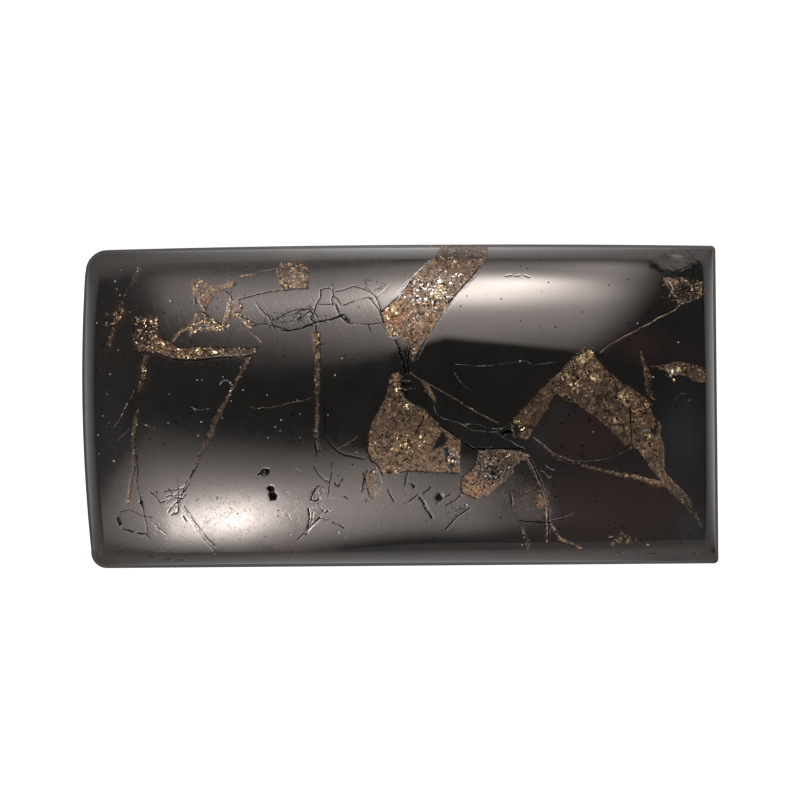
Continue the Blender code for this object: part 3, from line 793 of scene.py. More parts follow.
def line_distance(points, line, reach):
    """How far each point is from a line, up to a reach."""
    best = np.full(len(points), reach)
    near = np.all((points > line.min(0) - reach) & (points < line.max(0) + reach), axis=1)
    near = np.flatnonzero(near)
    chosen = points[near]
    least = np.full(len(near), reach * reach)
    for start, end in zip(line[:-1], line[1:]):
        run = end - start
        from_start = chosen - start
        share = np.clip(from_start @ run / max(run @ run, 1e-12), 0.0, 1.0)
        away = from_start - share[:, None] * run
        least = np.minimum(least, np.einsum("ij,ij->i", away, away))
    best[near] = np.sqrt(least)
    return best


def is_inside(points, outline):
    """Whether each point is inside a closed outline."""
    found = np.zeros(len(points), bool)
    near = np.all((points > outline.min(0)) & (points < outline.max(0)), axis=1)
    near = np.flatnonzero(near)
    x, y = points[near, 0], points[near, 1]
    odd = np.zeros(len(near), bool)
    for (ax, ay), (bx, by) in zip(outline, np.roll(outline, -1, axis=0)):
        if ay != by:
            crosses = (ay > y) != (by > y)
            odd ^= crosses & (x < (bx - ax) * (y - ay) / (by - ay) + ax)
    found[near] = odd
    return found


def depth_inside(points, outline, reach):
    """How far each point is inside a closed outline: below zero outside it, and within the reach."""
    distance = line_distance(points, np.concatenate([outline, outline[:1]]), reach)
    return np.where(is_inside(points, outline), distance, -distance)


# The stone's form


def smooth_step(low, high, value):
    """The value's place between low and high, smoothed, from 0 to 1."""
    share = np.clip((value - low) / (high - low), 0.0, 1.0)
    return share * share * (3 - 2 * share)


def left_side(y):
    return -HALF_LENGTH + LEFT_BOW * (y - LEFT_BOW_MIDDLE) ** 2


def right_side(y):
    return RIGHT_END - RIGHT_SKEW * y


def back_side(x):
    return BACK_SIDE - BACK_BOW * (x - BACK_BOW_MIDDLE) ** 2


def front_side(x):
    return FRONT_SIDE + FRONT_SKEW * x


def arc_drop(reach, radius):
    return radius - np.sqrt(radius * radius - np.minimum(reach, 0.98 * radius) ** 2)


def dome_height(x, y):
    """The dome's height before its edge is rounded over."""
    turn = smooth_step(RIDGE_TURN_FROM, RIDGE_TURN_TO, x)
    ridge = RIDGE_ON_LEFT + (RIDGE_ON_RIGHT - RIDGE_ON_LEFT) * turn
    drop = arc_drop(np.abs(y - ridge), ACROSS_RADIUS)
    drop = drop + arc_drop(np.abs(x - ALONG_MIDDLE), ALONG_RADIUS)
    drop = drop + arc_drop(np.maximum(0.0, LEFT_END_REACH - (x - left_side(y))), LEFT_END_RADIUS)
    return HEIGHT - drop


def dome_slopes(plan, step=0.01):
    """The dome's slopes along x and along y."""
    x, y = plan[:, 0], plan[:, 1]
    along = (dome_height(x + step, y) - dome_height(x - step, y)) / (2 * step)
    across = (dome_height(x, y + step) - dome_height(x, y - step)) / (2 * step)
    return np.stack([along, across], -1)


def on_face(pixels):
    """The places on the face, in millimetres, that these pixels of the plan view show."""
    pixels = np.asarray(pixels, float)
    flat_x = (pixels[:, 0] - PHOTO_SIZE / 2) * PLAN_SCALE
    flat_y = (PHOTO_SIZE / 2 - pixels[:, 1]) * PLAN_SCALE
    x, y = VIEW_X + flat_x, VIEW_Y + flat_y
    for _ in range(4):
        nearness = (VIEW_HEIGHT - dome_height(x, y)) / VIEW_HEIGHT
        x, y = VIEW_X + flat_x * nearness, VIEW_Y + flat_y * nearness
    return np.stack([x, y], -1)


def outline_loop(inset):
    """One closed ring of the plan, counter-clockwise, inside the stone's outline by an inset."""
    corners = []
    for side_x, side_y, full_radius in CORNERS:
        radius = max(SHARPEST_CORNER, full_radius - inset)
        level = (BACK_SIDE if side_y > 0 else FRONT_SIDE) - side_y * radius
        end_x = (right_side(level) if side_x > 0 else left_side(level)) - side_x * inset
        near_x = end_x - side_x * radius
        end_y = (back_side(near_x) if side_y > 0 else front_side(near_x)) - side_y * inset
        middle = np.array([near_x, end_y - side_y * radius])
        first = math.atan2(side_y, side_x) - math.pi / 4
        angles = first + np.linspace(0, math.pi / 2, CORNER_POINTS)
        corners.append(middle + radius * np.column_stack([np.cos(angles), np.sin(angles)]))
    pieces = []
    for index, corner in enumerate(corners):
        following = corners[(index + 1) % 4][0]
        count = round((LENGTH if index % 2 == 0 else BACK_SIDE - FRONT_SIDE) / LOOP_SPACING)
        share = np.linspace(0, 1, count + 2)[1:-1, None]
        side = corner[-1] * (1 - share) + following * share
        if index == 0:
            side[:, 1] = back_side(side[:, 0]) - inset
        elif index == 1:
            side[:, 0] = left_side(side[:, 1]) + inset
        elif index == 2:
            side[:, 1] = front_side(side[:, 0]) + inset
        else:
            side[:, 0] = right_side(side[:, 1]) - inset
        pieces += [corner, side]
    return np.concatenate(pieces)


def band_rings():
    """The rings of the stone's side, from the edge of its face down to its base.

    The round edge falls to the girdle, and hardly where the dome at a corner is lower than that.
    """
    rings = []
    for step in range(ARC_RINGS + 1):
        turn = math.pi / 2 * step / ARC_RINGS
        plan = outline_loop(WALL_LEAN + EDGE_ROUND * (1 - math.sin(turn)))
        level = dome_height(plan[:, 0], plan[:, 1])
        half = (level - GIRDLE_HEIGHT) / 2
        fall = half + np.hypot(half, GIRDLE_SOFTNESS)
        rings.append(np.column_stack([plan, level - fall * (1 - math.cos(turn))]))
    rim = rings[-1][:, 2]
    for share in np.linspace(0, 1, WALL_RINGS + 1)[1:]:
        plan = outline_loop(WALL_LEAN * (1 - share))
        rings.append(np.column_stack([plan, rim + (BASE_BEVEL - rim) * share]))
    plan = outline_loop(BASE_BEVEL)
    rings.append(np.column_stack([plan, np.zeros(len(plan))]))
    return rings


# The natural pattern, on the face


VEINS = [
    ragged(resampled(on_face(outline), OUTLINE_SPACING, True), RAGGEDNESS, seed, True)
    for seed, outline in enumerate([*VEIN_FIELDS.values(), *map(swelling_outline, VEIN_LINES.values())])
]
BLACK_WINDOWS = [
    ragged(resampled(on_face(outline), OUTLINE_SPACING, True), RAGGEDNESS / 2, seed, True)
    for seed, outline in enumerate(WINDOWS.values())
]
CRACK_LINES = [
    (
        kind,
        width * PLAN_SCALE / 2 * CRACK_NARROWING,
        ragged(resampled(on_face(line), CRACK_SPACING), RAGGEDNESS, seed),
    )
    for seed, (kind, width, line) in enumerate(CRACKS.values())
]
SPOTS = {
    "gold": [(on_face([(px, py)])[0], radius * PLAN_SCALE) for px, py, radius in GOLD_SPOTS],
    "speck": list(zip(on_face(SPECKS), itertools.cycle(SPECK_RADII))),
    "pit": [(on_face([place])[0], radius) for place, radius, _ in PITS],
}


def vein_depth(plan):
    """How deep inside a vein each place is, below zero outside them."""
    depth = np.full(len(plan), -DETAIL_REACH)
    for outline in VEINS:
        depth = np.maximum(depth, depth_inside(plan, outline, DETAIL_REACH))
    for outline in BLACK_WINDOWS:
        depth = np.minimum(depth, -depth_inside(plan, outline, DETAIL_REACH))
    return depth


def crack_share(plan, kind):
    """1 in the middle of a crack, 0 at its edge, and down to -2 beside it."""
    share = np.full(len(plan), -2.0)
    for line_kind, half_width, line in CRACK_LINES:
        if line_kind == kind:
            share = np.maximum(share, 1 - line_distance(plan, line, 3 * half_width) / half_width)
    return share


def spot_share(plan, kind):
    """1 in the middle of a spot, 0 at its edge, and down to -2 beside it."""
    share = np.full(len(plan), -2.0)
    for place, radius in SPOTS[kind]:
        near = np.flatnonzero(np.all(np.abs(plan - place) < 3 * radius, axis=1))
        away = np.linalg.norm(plan[near] - place, axis=1)
        share[near] = np.maximum(share[near], 1 - away / radius)
    return share


def soft_areas(plan, areas):
    """The strength of soft patches, which fade out from their middles."""
    total = np.zeros(len(plan))
    for px, py, reach_x, reach_y, strength in areas:
        scaled = (plan - on_face([(px, py)])[0]) / (np.array([reach_x, reach_y]) * PLAN_SCALE)
        total = np.maximum(total, strength * np.exp(-np.sum(scaled * scaled, axis=1)))
    return total


def dull_parts(plan):
    total = np.zeros(len(plan))
    for dullness, outline in DULL_PARTS.values():
        depth = depth_inside(plan, on_face(outline), DULL_FADE)
        total = np.maximum(total, dullness * smooth_step(-DULL_FADE, DULL_FADE, depth))
    return total


def pattern_at(plan):
    """What each place of the plan is made of, as named numbers."""
    return {
        "vein": vein_depth(plan),
        # Open cracks and pits: the material paints them black, as the shade in them
        "open_crack": np.maximum(crack_share(plan, "dark"), spot_share(plan, "pit")),
        "crushed_crack": crack_share(plan, "bright"),
        "stained_crack": crack_share(plan, "stained"),
        "gold": spot_share(plan, "gold"),
        "speck": spot_share(plan, "speck"),
        "silver": soft_areas(plan, SILVER_AREAS),
        "rust": soft_areas(plan, RUST_AREAS),
        "sparse": soft_areas(plan, SPARSE_AREAS),
        "dim": soft_areas(plan, DIM_AREAS),
        "brown_black": soft_areas(plan, BROWN_PARTS),
        "blue_black": soft_areas(plan, BLUE_PARTS),
        "crushed_area": soft_areas(plan, CRUSHED_AREAS),
        "dull": dull_parts(plan),
    }


def detail_distance(plan):
    """How far each place is from the nearest detail of the pattern. Vein filling is all detail."""
    depth = vein_depth(plan)
    distance = np.where(depth > 0, 0.0, -depth)
    for _, _, line in CRACK_LINES:
        distance = np.minimum(distance, line_distance(plan, line, DETAIL_REACH))
    for place, radius in itertools.chain(*SPOTS.values()):
        near = np.flatnonzero(np.all(np.abs(plan - place) < DETAIL_REACH + radius, axis=1))
        away = np.linalg.norm(plan[near] - place, axis=1) - radius
        distance[near] = np.minimum(distance[near], np.maximum(away, 0))
    return distance


def through_the_stone(points):
    """Where on the face's plan the pattern of each point is found: veins slant down to the back."""
    plan = points[:, :2]
    below = np.clip(1 - points[:, 2] / GIRDLE_HEIGHT, 0, 1)
    depth = dome_height(plan[:, 0], plan[:, 1]) * below
    return plan + depth[:, None] * np.array(VEIN_DIP)


# The mesh


def lattice(ring, finest, looked_up):
    """Points inside a ring, closer together near the pattern's details."""
    low, high = ring.min(0), ring.max(0)
    columns, rows = (np.ceil((high - low) / finest)).astype(int)
    column, row = (index.ravel() for index in np.meshgrid(np.arange(columns), np.arange(rows)))
    plan = low + np.column_stack([column, row]) * finest
    level = np.zeros(len(plan))
    for power in range(1, COARSEST_LEVEL + 1):
        level[(column % 2**power == 0) & (row % 2**power == 0)] = power
    wanted = 1 + COARSENING / finest * detail_distance(looked_up(plan))
    needed = np.minimum(np.floor(np.log2(wanted)), COARSEST_LEVEL)
    keep = (level >= needed) & (depth_inside(plan, ring, finest) > finest / 2)
    plan, level = plan[keep], level[keep]
    flat = np.column_stack([plan, np.zeros(len(plan))])
    cells = np.floor(flat / finest).astype(np.int64)
    shake = np.column_stack([hashed(cells, 71), hashed(cells, 72)]) - 0.5
    return plan + shake * (LATTICE_SHAKE * finest * 2**level)[:, None]


def structure(ring):
    """The points and edges that follow the veins and cracks, kept a little inside a ring."""
    outlines = [np.concatenate([outline, outline[:1]]) for outline in VEINS + BLACK_WINDOWS]
    lines = [(outline, (-VEIN_ROW, VEIN_ROW)) for outline in outlines]
    lines += [(line, (-2 * half, -half, half, 2 * half)) for _, half, line in CRACK_LINES]
    points, edges, count = [], [], 0
    for line, rows in lines:
        inside = depth_inside(line, ring, RING_CLEARANCE) >= RING_CLEARANCE
        index = count + np.cumsum(inside) - 1
        both = inside[:-1] & inside[1:]
        edges.append(np.column_stack([index[:-1], index[1:]])[both])
        points.append(line[inside])
        count += int(inside.sum())
        for row in rows:
            beside = line + sideways(line) * row
            beside = beside[depth_inside(beside, ring, RING_CLEARANCE) >= RING_CLEARANCE]
            points.append(beside)
            count += len(beside)
    for place, radius in itertools.chain(*SPOTS.values()):
        turns = np.linspace(0, 2 * math.pi, SPOT_POINTS + 1)[1:, None]
        circle = np.concatenate([np.cos(turns), np.sin(turns)], 1) * radius
        spot = np.concatenate([place[None], place + circle / 2, place + circle, place + 2 * circle])
        points.append(spot[depth_inside(spot, ring, RING_CLEARANCE) >= RING_CLEARANCE])
    return np.concatenate(points), np.concatenate(edges)


def sheet(ring, free_points, lines=None):
    """Triangles over the inside of a ring: their points, corners and where the ring's points went."""
    around = np.arange(len(ring))
    edges = [np.column_stack([around, np.roll(around, -1)])]
    points = [ring]
    if lines:
        line_points, line_edges = lines
        points.append(line_points)
        edges.append(line_edges + len(ring))
    points.append(free_points)
    coordinates = [Vector(point) for point in np.concatenate(points).tolist()]
    pairs = np.concatenate(edges).tolist()
    made, _, faces, sources, _, _ = delaunay_2d_cdt(coordinates, pairs, [], ONLY_INSIDE, WELD)
    made = np.array([tuple(point) for point in made])
    corners = np.array(faces)
    place_of = {source: index for index, found in enumerate(sources) for source in found}
    return made, corners, np.array([place_of[index] for index in range(len(ring))])


def gathered(corners, values, count):
    """The sum, at each point, of the values of the triangles around it."""
    flat = corners.ravel()
    return np.column_stack([np.bincount(flat, np.repeat(column, 3), count) for column in values.T])


def unit(vectors):
    return vectors / np.maximum(np.linalg.norm(vectors, axis=1, keepdims=True), 1e-12)


def face_normals(points, corners):
    first, second, third = (points[corners[:, k]] for k in range(3))
    return np.cross(second - first, third - first)


def slope_of(points, corners, height):
    """The slope of a height over the surface, at each point."""
    normal = face_normals(points, corners)
    size = np.linalg.norm(normal, axis=1)
    total = np.zeros_like(normal)
    for k in range(3):
        opposite = points[corners[:, (k + 2) % 3]] - points[corners[:, (k + 1) % 3]]
        total += np.cross(normal, opposite) * height[corners[:, k], None]
    total /= np.maximum(size, 1e-12)[:, None]
    weight = gathered(corners, size[:, None], len(points))
    return gathered(corners, total, len(points)) / np.maximum(weight, 1e-12)


def relief_at(points, normals, pattern):
    """How far the surface lies below the polish at each point, along its normal."""
    vein = smooth_step(-STEP_WIDTH / 2, STEP_WIDTH / 2, pattern["vein"])
    away, level, turn = grains(points, GRAIN_SIZE, 11)
    lean = away[:, 0] * np.cos(turn * 2 * math.pi) + away[:, 1] * np.sin(turn * 2 * math.pi)
    rough = soft_noise(points, LUMP_SIZE, 5) * LUMP_DEPTH + level * GRAIN_DEPTH + lean * GRAIN_LEAN
    gold = smooth_step(-0.2, 0.5, pattern["gold"])
    depth = vein * np.maximum(VEIN_DEPTH + rough - gold * NUGGET_RISE, 0)
    depth *= 1 - SPARSE_SHALLOWNESS * np.minimum(pattern["sparse"], 1)
    open_crack = np.clip(pattern["open_crack"] + 0.4, 0, 1)
    crushed = np.clip(pattern["crushed_crack"] + 0.6, 0, 1)
    stained = np.clip(pattern["stained_crack"] + 0.2, 0, 1)
    chips = (level * 0.6 + 0.4 + lean * CHIP_LEAN) * crushed
    depth += open_crack * CRACK_DEPTH + chips * CHIP_DEPTH + stained * STAIN_DEPTH
    depth += np.clip(pattern["speck"] + 0.3, 0, 1) * SPECK_DEPTH
    depth += soft_noise(points, WAVE_SIZE, 23) * WAVE_DEPTH * (0.4 + pattern["dull"])
    for (place, radius), (_, _, deepest) in zip(SPOTS["pit"], PITS):
        away = np.linalg.norm(points[:, :2] - place, axis=1) / radius
        away += soft_noise(points, radius, 31) * 0.4 + soft_noise(points, radius / 3, 32) * 0.2
        depth += deepest * smooth_step(1.0, 0.45, away)
    return depth


def flake_depth(points, normals):
    """How far the flake, which has the form of a shallow ball, reaches below the polish."""
    place = on_face([FLAKE_PLACE])
    slope_x, slope_y = dome_slopes(place)[0]
    outward = np.array([-slope_x, -slope_y, 1.0])
    outward /= np.linalg.norm(outward)
    level = dome_height(place[:, 0], place[:, 1])[0]
    middle = np.array([*place[0], level]) + outward * (FLAKE_RADIUS - FLAKE_DEPTH)
    from_middle = points - middle
    along = np.einsum("ij,ij->i", from_middle, normals)
    inside = FLAKE_RADIUS**2 - np.einsum("ij,ij->i", from_middle, from_middle)
    return np.where(inside > 0, along + np.sqrt(np.maximum(along**2 + inside, 0)), 0.0)


def polished_face(ring):
    """The triangles of the face, which follow the pattern's lines."""
    free = lattice(ring, FINEST, lambda plan: plan)
    lines = [np.concatenate([outline, outline[:1]]) for outline in VEINS + BLACK_WINDOWS]
    lines += [line for _, _, line in CRACK_LINES]
    clear = np.ones(len(free), bool)
    for line in lines:
        clear &= line_distance(free, line, ROW_CLEARANCE) >= ROW_CLEARANCE
    return sheet(ring, free[clear], structure(ring))


def sawn_back(ring):
    """The triangles of the back, finer where the veins come out of it."""

    def looked_up(plan):
        return through_the_stone(np.column_stack([plan, np.zeros(len(plan))]))

    return sheet(ring, lattice(ring, BACK_FINEST, looked_up))


def band_places(ring_size, ring_count):
    """The triangles of the side, as places in its rings, and their places on the texture's strips."""
    strip_length = ring_size / STRIPS
    top = (1 + STRIP_FILL) / 2
    step = STRIP_FILL / (ring_count - 1)
    corners, places = [], []
    for around in range(ring_size):
        strip = int(around / strip_length)
        left = (around - strip * strip_length) / strip_length
        right = left + 1 / strip_length
        after = (around + 1) % ring_size
        for down in range(ring_count - 1):
            high = (strip + top - step * down) * STRIP_HEIGHT
            low = (strip + top - step * (down + 1)) * STRIP_HEIGHT
            corner = [(down, around), (down + 1, around), (down + 1, after), (down, after)]
            place = [(left, high), (left, low), (right, low), (right, high)]
            for triangle in ((0, 1, 2), (0, 2, 3)):
                corners.append([corner[k][0] * ring_size + corner[k][1] for k in triangle])
                places.append([place[k] for k in triangle])
    return np.array(corners), np.array(places)


def plan_places(plan, low, high):
    """Where a plan lies on the texture, between two heights of it."""
    share = (plan + (HALF_LENGTH, HALF_LENGTH / 2 + 1)) / (LENGTH, HALF_LENGTH + 2)
    return share * (1, high - low) + (0, low)


def stone_arrays():
    """The whole stone as arrays: points, triangles, texture places, finish of each triangle, normals."""
    rings = band_rings()
    ring_size = len(rings[0])
    top_plan, top_corners, top_ring = polished_face(rings[0][:, :2])
    back_plan, back_corners, back_ring = sawn_back(rings[-1][:, :2])

    band = np.concatenate(rings)
    top = np.column_stack([top_plan, dome_height(top_plan[:, 0], top_plan[:, 1])])
    back = np.column_stack([back_plan, np.zeros(len(back_plan))])
    points = np.concatenate([band, top, back])

    top_index = np.arange(len(top)) + len(band)
    top_index[top_ring] = np.arange(ring_size)
    back_index = np.arange(len(back)) + len(band) + len(top)
    back_index[back_ring] = np.arange(ring_size) + len(band) - ring_size
    band_corners, band_uv = band_places(ring_size, len(rings))
    corners = np.concatenate([band_corners, top_index[top_corners], back_index[back_corners][:, ::-1]])
    places = np.concatenate([
        band_uv,
        plan_places(top_plan, *FACE_PLACE)[top_corners],
        plan_places(back_plan, *BACK_PLACE)[back_corners[:, ::-1]],
    ])
    on_wall = band_corners.min(1) // ring_size >= ARC_RINGS
    sawn = np.concatenate([on_wall, np.zeros(len(top_corners), bool), np.ones(len(back_corners), bool)])

    used = np.unique(corners)
    renumber = np.zeros(len(points), int)
    renumber[used] = np.arange(len(used))
    points, corners = points[used], renumber[corners]

    normals = unit(gathered(corners, face_normals(points, corners), len(points)))
    on_top = np.isin(used, np.unique(top_index[top_corners]))
    slopes = dome_slopes(points[on_top, :2])
    normals[on_top] = unit(np.column_stack([-slopes, np.ones(len(slopes))]))
    return points, corners, places, sawn, normals


def dressed_stone():
    """The stone's mesh, with its relief, its normals and the pattern as named values at its points."""
    points, corners, places, sawn, normals = stone_arrays()
    pattern = pattern_at(through_the_stone(points))
    depth = relief_at(points, normals, pattern)
    polish = smooth_step(GIRDLE_HEIGHT / 2, GIRDLE_HEIGHT * 1.2, points[:, 2])
    on_back = points[:, 2] < BASE_BEVEL / 2
    depth = np.where(on_back, 0.0, depth * (BAND_RELIEF + (1 - BAND_RELIEF) * polish))
    depth += flake_depth(points, normals)
    shaped = unit(normals + slope_of(points, corners, depth))
    points = points - normals * depth[:, None]

    mesh = bpy.data.meshes.new("stone_surface")
    mesh.from_pydata((points * MM).tolist(), [], corners.tolist())
    mesh.shade_smooth()
    for name, values in pattern.items():
        attribute = mesh.attributes.new(name, "FLOAT", "POINT")
        attribute.data.foreach_set("value", values.astype(np.float32))
    layer = mesh.uv_layers.new(name="OFBake")
    layer.data.foreach_set("uv", places.astype(np.float32).ravel())
    mesh.normals_split_custom_set_from_vertices(shaped.tolist())
    mesh.polygons.foreach_set("material_index", sawn.astype(np.int32))
    return mesh


# Materials


class Graph:
    """A node tree that is filled in from left to right."""

    def __init__(self, tree):
        self.tree = tree
        tree.nodes.clear()

    def node(self, kind, inputs=None, **settings):
        made = self.tree.nodes.new(kind)
        made.location = (200 * len(self.tree.nodes), 0)
        for name, value in settings.items():
            setattr(made, name, value)
        for socket, value in (inputs or {}).items():
            if isinstance(value, bpy.types.NodeSocket):
                self.tree.links.new(value, made.inputs[socket])
            else:
                made.inputs[socket].default_value = value
        return made

    def math(self, operation, *values):
        return self.node("ShaderNodeMath", dict(enumerate(values)), operation=operation).outputs[0]

    def ramp(self, value, low, high, out_low=0.0, out_high=1.0):
        """The value's place between low and high, smoothed, as a number between the out values."""
        inputs = {"Value": value, "From Min": low, "From Max": high, "To Min": out_low, "To Max": out_high}
        return self.node("ShaderNodeMapRange", inputs, interpolation_type="SMOOTHSTEP").outputs[0]

    def blend(self, share, first, second):
        """Between two colours."""
        made = self.node("ShaderNodeMix", data_type="RGBA")
        for socket, value in ((0, share), (6, first), (7, second)):
            if isinstance(value, bpy.types.NodeSocket):
                self.tree.links.new(value, made.inputs[socket])
            else:
                made.inputs[socket].default_value = value
        return made.outputs[2]

    def measured(self, name):
        """One of the stone's named values."""
        made = self.node("ShaderNodeAttribute", attribute_type="GEOMETRY", attribute_name=name)
        return made.outputs["Fac"]

    def laid(self, tree, **measures):
        """A shader group, with the stone's named values at its inputs."""
        inputs = {socket: self.measured(name) for socket, name in measures.items()}
        return self.node("ShaderNodeGroup", inputs, node_tree=tree)

    def noise(self, place, size, detail=2.0, roughness=0.5):
        """Smooth noise from 0 to 1, with hills of this size in millimetres."""
        inputs = {"Vector": place, "Scale": 1 / (size * MM), "Detail": detail, "Roughness": roughness}
        return self.node("ShaderNodeTexNoise", inputs).outputs["Fac"]

    def cells(self, place, size, feature="F1"):
        """Grains of this size in millimetres: their node, with a colour and a distance for each."""
        inputs = {"Vector": place, "Scale": 1 / (size * MM)}
        return self.node("ShaderNodeTexVoronoi", inputs, feature=feature)

    def drifted(self, place, size, reach):
        """The place, pushed about by noise of this size, so that what is drawn there is irregular."""
        inputs = {"Vector": place, "Scale": 1 / (size * MM), "Detail": 1.0}
        push = self.node("ShaderNodeTexNoise", inputs).outputs["Color"]
        inputs = {0: push, 1: (0.5, 0.5, 0.5)}
        push = self.node("ShaderNodeVectorMath", inputs, operation="SUBTRACT").outputs[0]
        inputs = {0: push, 1: (2 * reach * MM,) * 3, 2: place}
        return self.node("ShaderNodeVectorMath", inputs, operation="MULTIPLY_ADD").outputs[0]


def new_group(name, sockets_in, sockets_out):
    """An empty shader group with these named sockets: its graph and what is given at its inputs."""
    tree = bpy.data.node_groups.new(name, "ShaderNodeTree")
    graph = Graph(tree)
    for socket, kind in sockets_in.items():
        tree.interface.new_socket(socket, in_out="INPUT", socket_type=kind)
    for socket, kind in sockets_out.items():
        tree.interface.new_socket(socket, in_out="OUTPUT", socket_type=kind)
    given = graph.node("NodeGroupInput").outputs
    return graph, given


def close_group(graph, results):
    """The finished shader group, with the results at its outputs."""
    graph.node("NodeGroupOutput", results)
    return graph.tree


FLOAT, COLOUR, VECTOR = "NodeSocketFloat", "NodeSocketColor", "NodeSocketVector"


def black_stone_group():
    """Glassy black stone, brown, blue or rusty in parts, with a polish that is dull in parts."""
    graph, given = new_group(
        "black_stone",
        {"Brown": FLOAT, "Blue": FLOAT, "Rust": FLOAT, "Dullness": FLOAT},
        {"Colour": COLOUR, "Roughness": FLOAT, "Height": FLOAT},
    )
    place = graph.node("ShaderNodeTexCoord").outputs["Object"]
    cloud = graph.noise(place, 1.8, 3.0)
    colour = graph.blend(graph.ramp(cloud, 0.3, 0.7), DEEP_BLACK, CLOUDY_BLACK)
    colour = graph.blend(given["Brown"], colour, BROWN_BLACK)
    colour = graph.blend(given["Blue"], colour, BLUE_BLACK)
    haze = graph.ramp(graph.noise(place, 0.6, 4.0, 0.65), 0.4, 0.62, 0.1, 0.8)
    haze = graph.math("MULTIPLY", given["Rust"], haze)
    colour = graph.blend(haze, colour, RUSTY_BLACK)
    smear = graph.ramp(graph.noise(place, 0.9, 4.0, 0.6), 0.3, 0.7, 0.75, 1.2)
    rough = graph.ramp(graph.math("MULTIPLY", given["Dullness"], smear), 0.0, 1.0, *POLISH_ROUGHNESS)
    along = {"Vector": place, "Scale": (1.0, 9.0, 1.0), "Rotation": (0, 0, 0.5)}
    along = graph.node("ShaderNodeMapping", along, vector_type="TEXTURE").outputs[0]
    scratches = graph.noise(along, 0.1, 1.0)
    height = graph.math("MULTIPLY", graph.ramp(scratches, 0.58, 0.78), given["Dullness"])
    return close_group(graph, {"Colour": colour, "Roughness": rough, "Height": height})


def vein_filling_group():
    """Granular brown filling, dim in parts, with black pores and seams and grains of gold and silver."""
    graph, given = new_group(
        "vein_filling",
        {"Silver": FLOAT, "Rust": FLOAT, "Gold": FLOAT, "Dimness": FLOAT},
        {"Colour": COLOUR, "Metal": FLOAT, "Roughness": FLOAT, "Lean": VECTOR},
    )
    place = graph.node("ShaderNodeTexCoord").outputs["Object"]
    grain = graph.cells(graph.drifted(place, 0.12, 0.09), METAL_GRAIN)
    shade = graph.node("ShaderNodeSeparateColor", {"Color": grain.outputs["Color"]})
    pick, tone, chance = shade.outputs[0], shade.outputs[1], shade.outputs[2]
    fine = graph.noise(place, 0.14, 2.0, 0.6)
    lump = graph.noise(place, 0.38, 4.0, 0.62)
    broad = graph.noise(place, 0.8, 4.0, 0.6)

    mottle = graph.math("ADD", graph.math("MULTIPLY", fine, 0.85), graph.math("MULTIPLY", tone, 0.15))
    colour = graph.blend(graph.ramp(mottle, 0.33, 0.67), FILLING_DARK, FILLING_LIGHT)
    colour = graph.blend(graph.ramp(lump, 0.48, 0.66, 0.0, 0.8), colour, DARK_LUMPS)
    colour = graph.blend(graph.ramp(lump, 0.44, 0.32, 0.0, 0.6), colour, SANDY_LUMPS)
    colour = graph.blend(graph.ramp(broad, 0.5, 0.66, 0.0, 0.6), colour, BROAD_STAINS)
    # The palest grains are sandy: partly real light grains, partly painted glints
    colour = graph.blend(graph.ramp(tone, 0.86, 0.93, 0.0, 0.8), colour, SANDY_GRAINS_AND_GLINTS)
    colour = graph.blend(graph.math("MULTIPLY", given["Rust"], 0.7), colour, RUST)

    dimness = graph.math("MULTIPLY", given["Dimness"], 0.85)
    colour = graph.blend(dimness, colour, DIM_FILLING)
    silver_chance = graph.math("ADD", graph.math("MULTIPLY", given["Silver"], 0.9), chance)
    silver = graph.ramp(silver_chance, 1.0, 1.1)
    colour = graph.blend(silver, colour, graph.blend(tone, DARK_SILVER, BRIGHT_SILVER))
    clump = graph.noise(place, 0.3, 3.0, 0.7)
    zone = graph.math("ADD", given["Gold"], graph.math("MULTIPLY", graph.math("SUBTRACT", clump, 0.5), 3.0))
    zone = graph.ramp(zone, -1.2, 0.5)
    gold_chance = graph.math("ADD", graph.math("MULTIPLY", clump, 0.6), graph.math("MULTIPLY", pick, 0.5))
    gold_chance = graph.math("ADD", gold_chance, graph.math("MULTIPLY", zone, 0.2))
    gold = graph.ramp(gold_chance, 0.77, 0.81)
    colour = graph.blend(gold, colour, graph.blend(chance, RED_GOLD, PALE_GOLD))
    gap = graph.cells(graph.drifted(place, 0.4, 0.3), 0.55, "DISTANCE_TO_EDGE").outputs["Distance"]
    seams = graph.math("MULTIPLY", graph.ramp(gap, 0.09, 0.03), graph.ramp(broad, 0.5, 0.42, 0.0, 0.85))
    holes = graph.math("ADD", graph.ramp(lump, 0.42, 0.62, 0.0, 0.07), graph.math("MULTIPLY", zone, 0.12))
    pores = graph.ramp(graph.math("SUBTRACT", tone, holes), 0.03, -0.02)
    colour = graph.blend(graph.math("MAXIMUM", pores, seams), colour, PORE_BLACK)
    bright = graph.math("MAXIMUM", silver, gold)
    metal = graph.math("MULTIPLY", gold, 0.55)
    metal = graph.math("SUBTRACT", graph.ramp(bright, 0.0, 1.0, 0.75, 0.9), metal)
    rough = graph.ramp(bright, 0.0, 1.0, *FILLING_ROUGHNESS)
    tilt = {0: grain.outputs["Color"], 1: (0.5, 0.5, 0.5)}
    tilt = graph.node("ShaderNodeVectorMath", tilt, operation="SUBTRACT").outputs[0]
    reach = graph.ramp(bright, 0.0, 1.0, 0.25, 1.0)
    lean = graph.node("ShaderNodeVectorMath", {0: tilt, "Scale": reach}, operation="SCALE").outputs[0]
    lean = {0: GLINT_LEAN, 1: gold, 2: lean}
    lean = graph.node("ShaderNodeVectorMath", lean, operation="MULTIPLY_ADD").outputs[0]
    return close_group(graph, {"Colour": colour, "Metal": metal, "Roughness": rough, "Lean": lean})


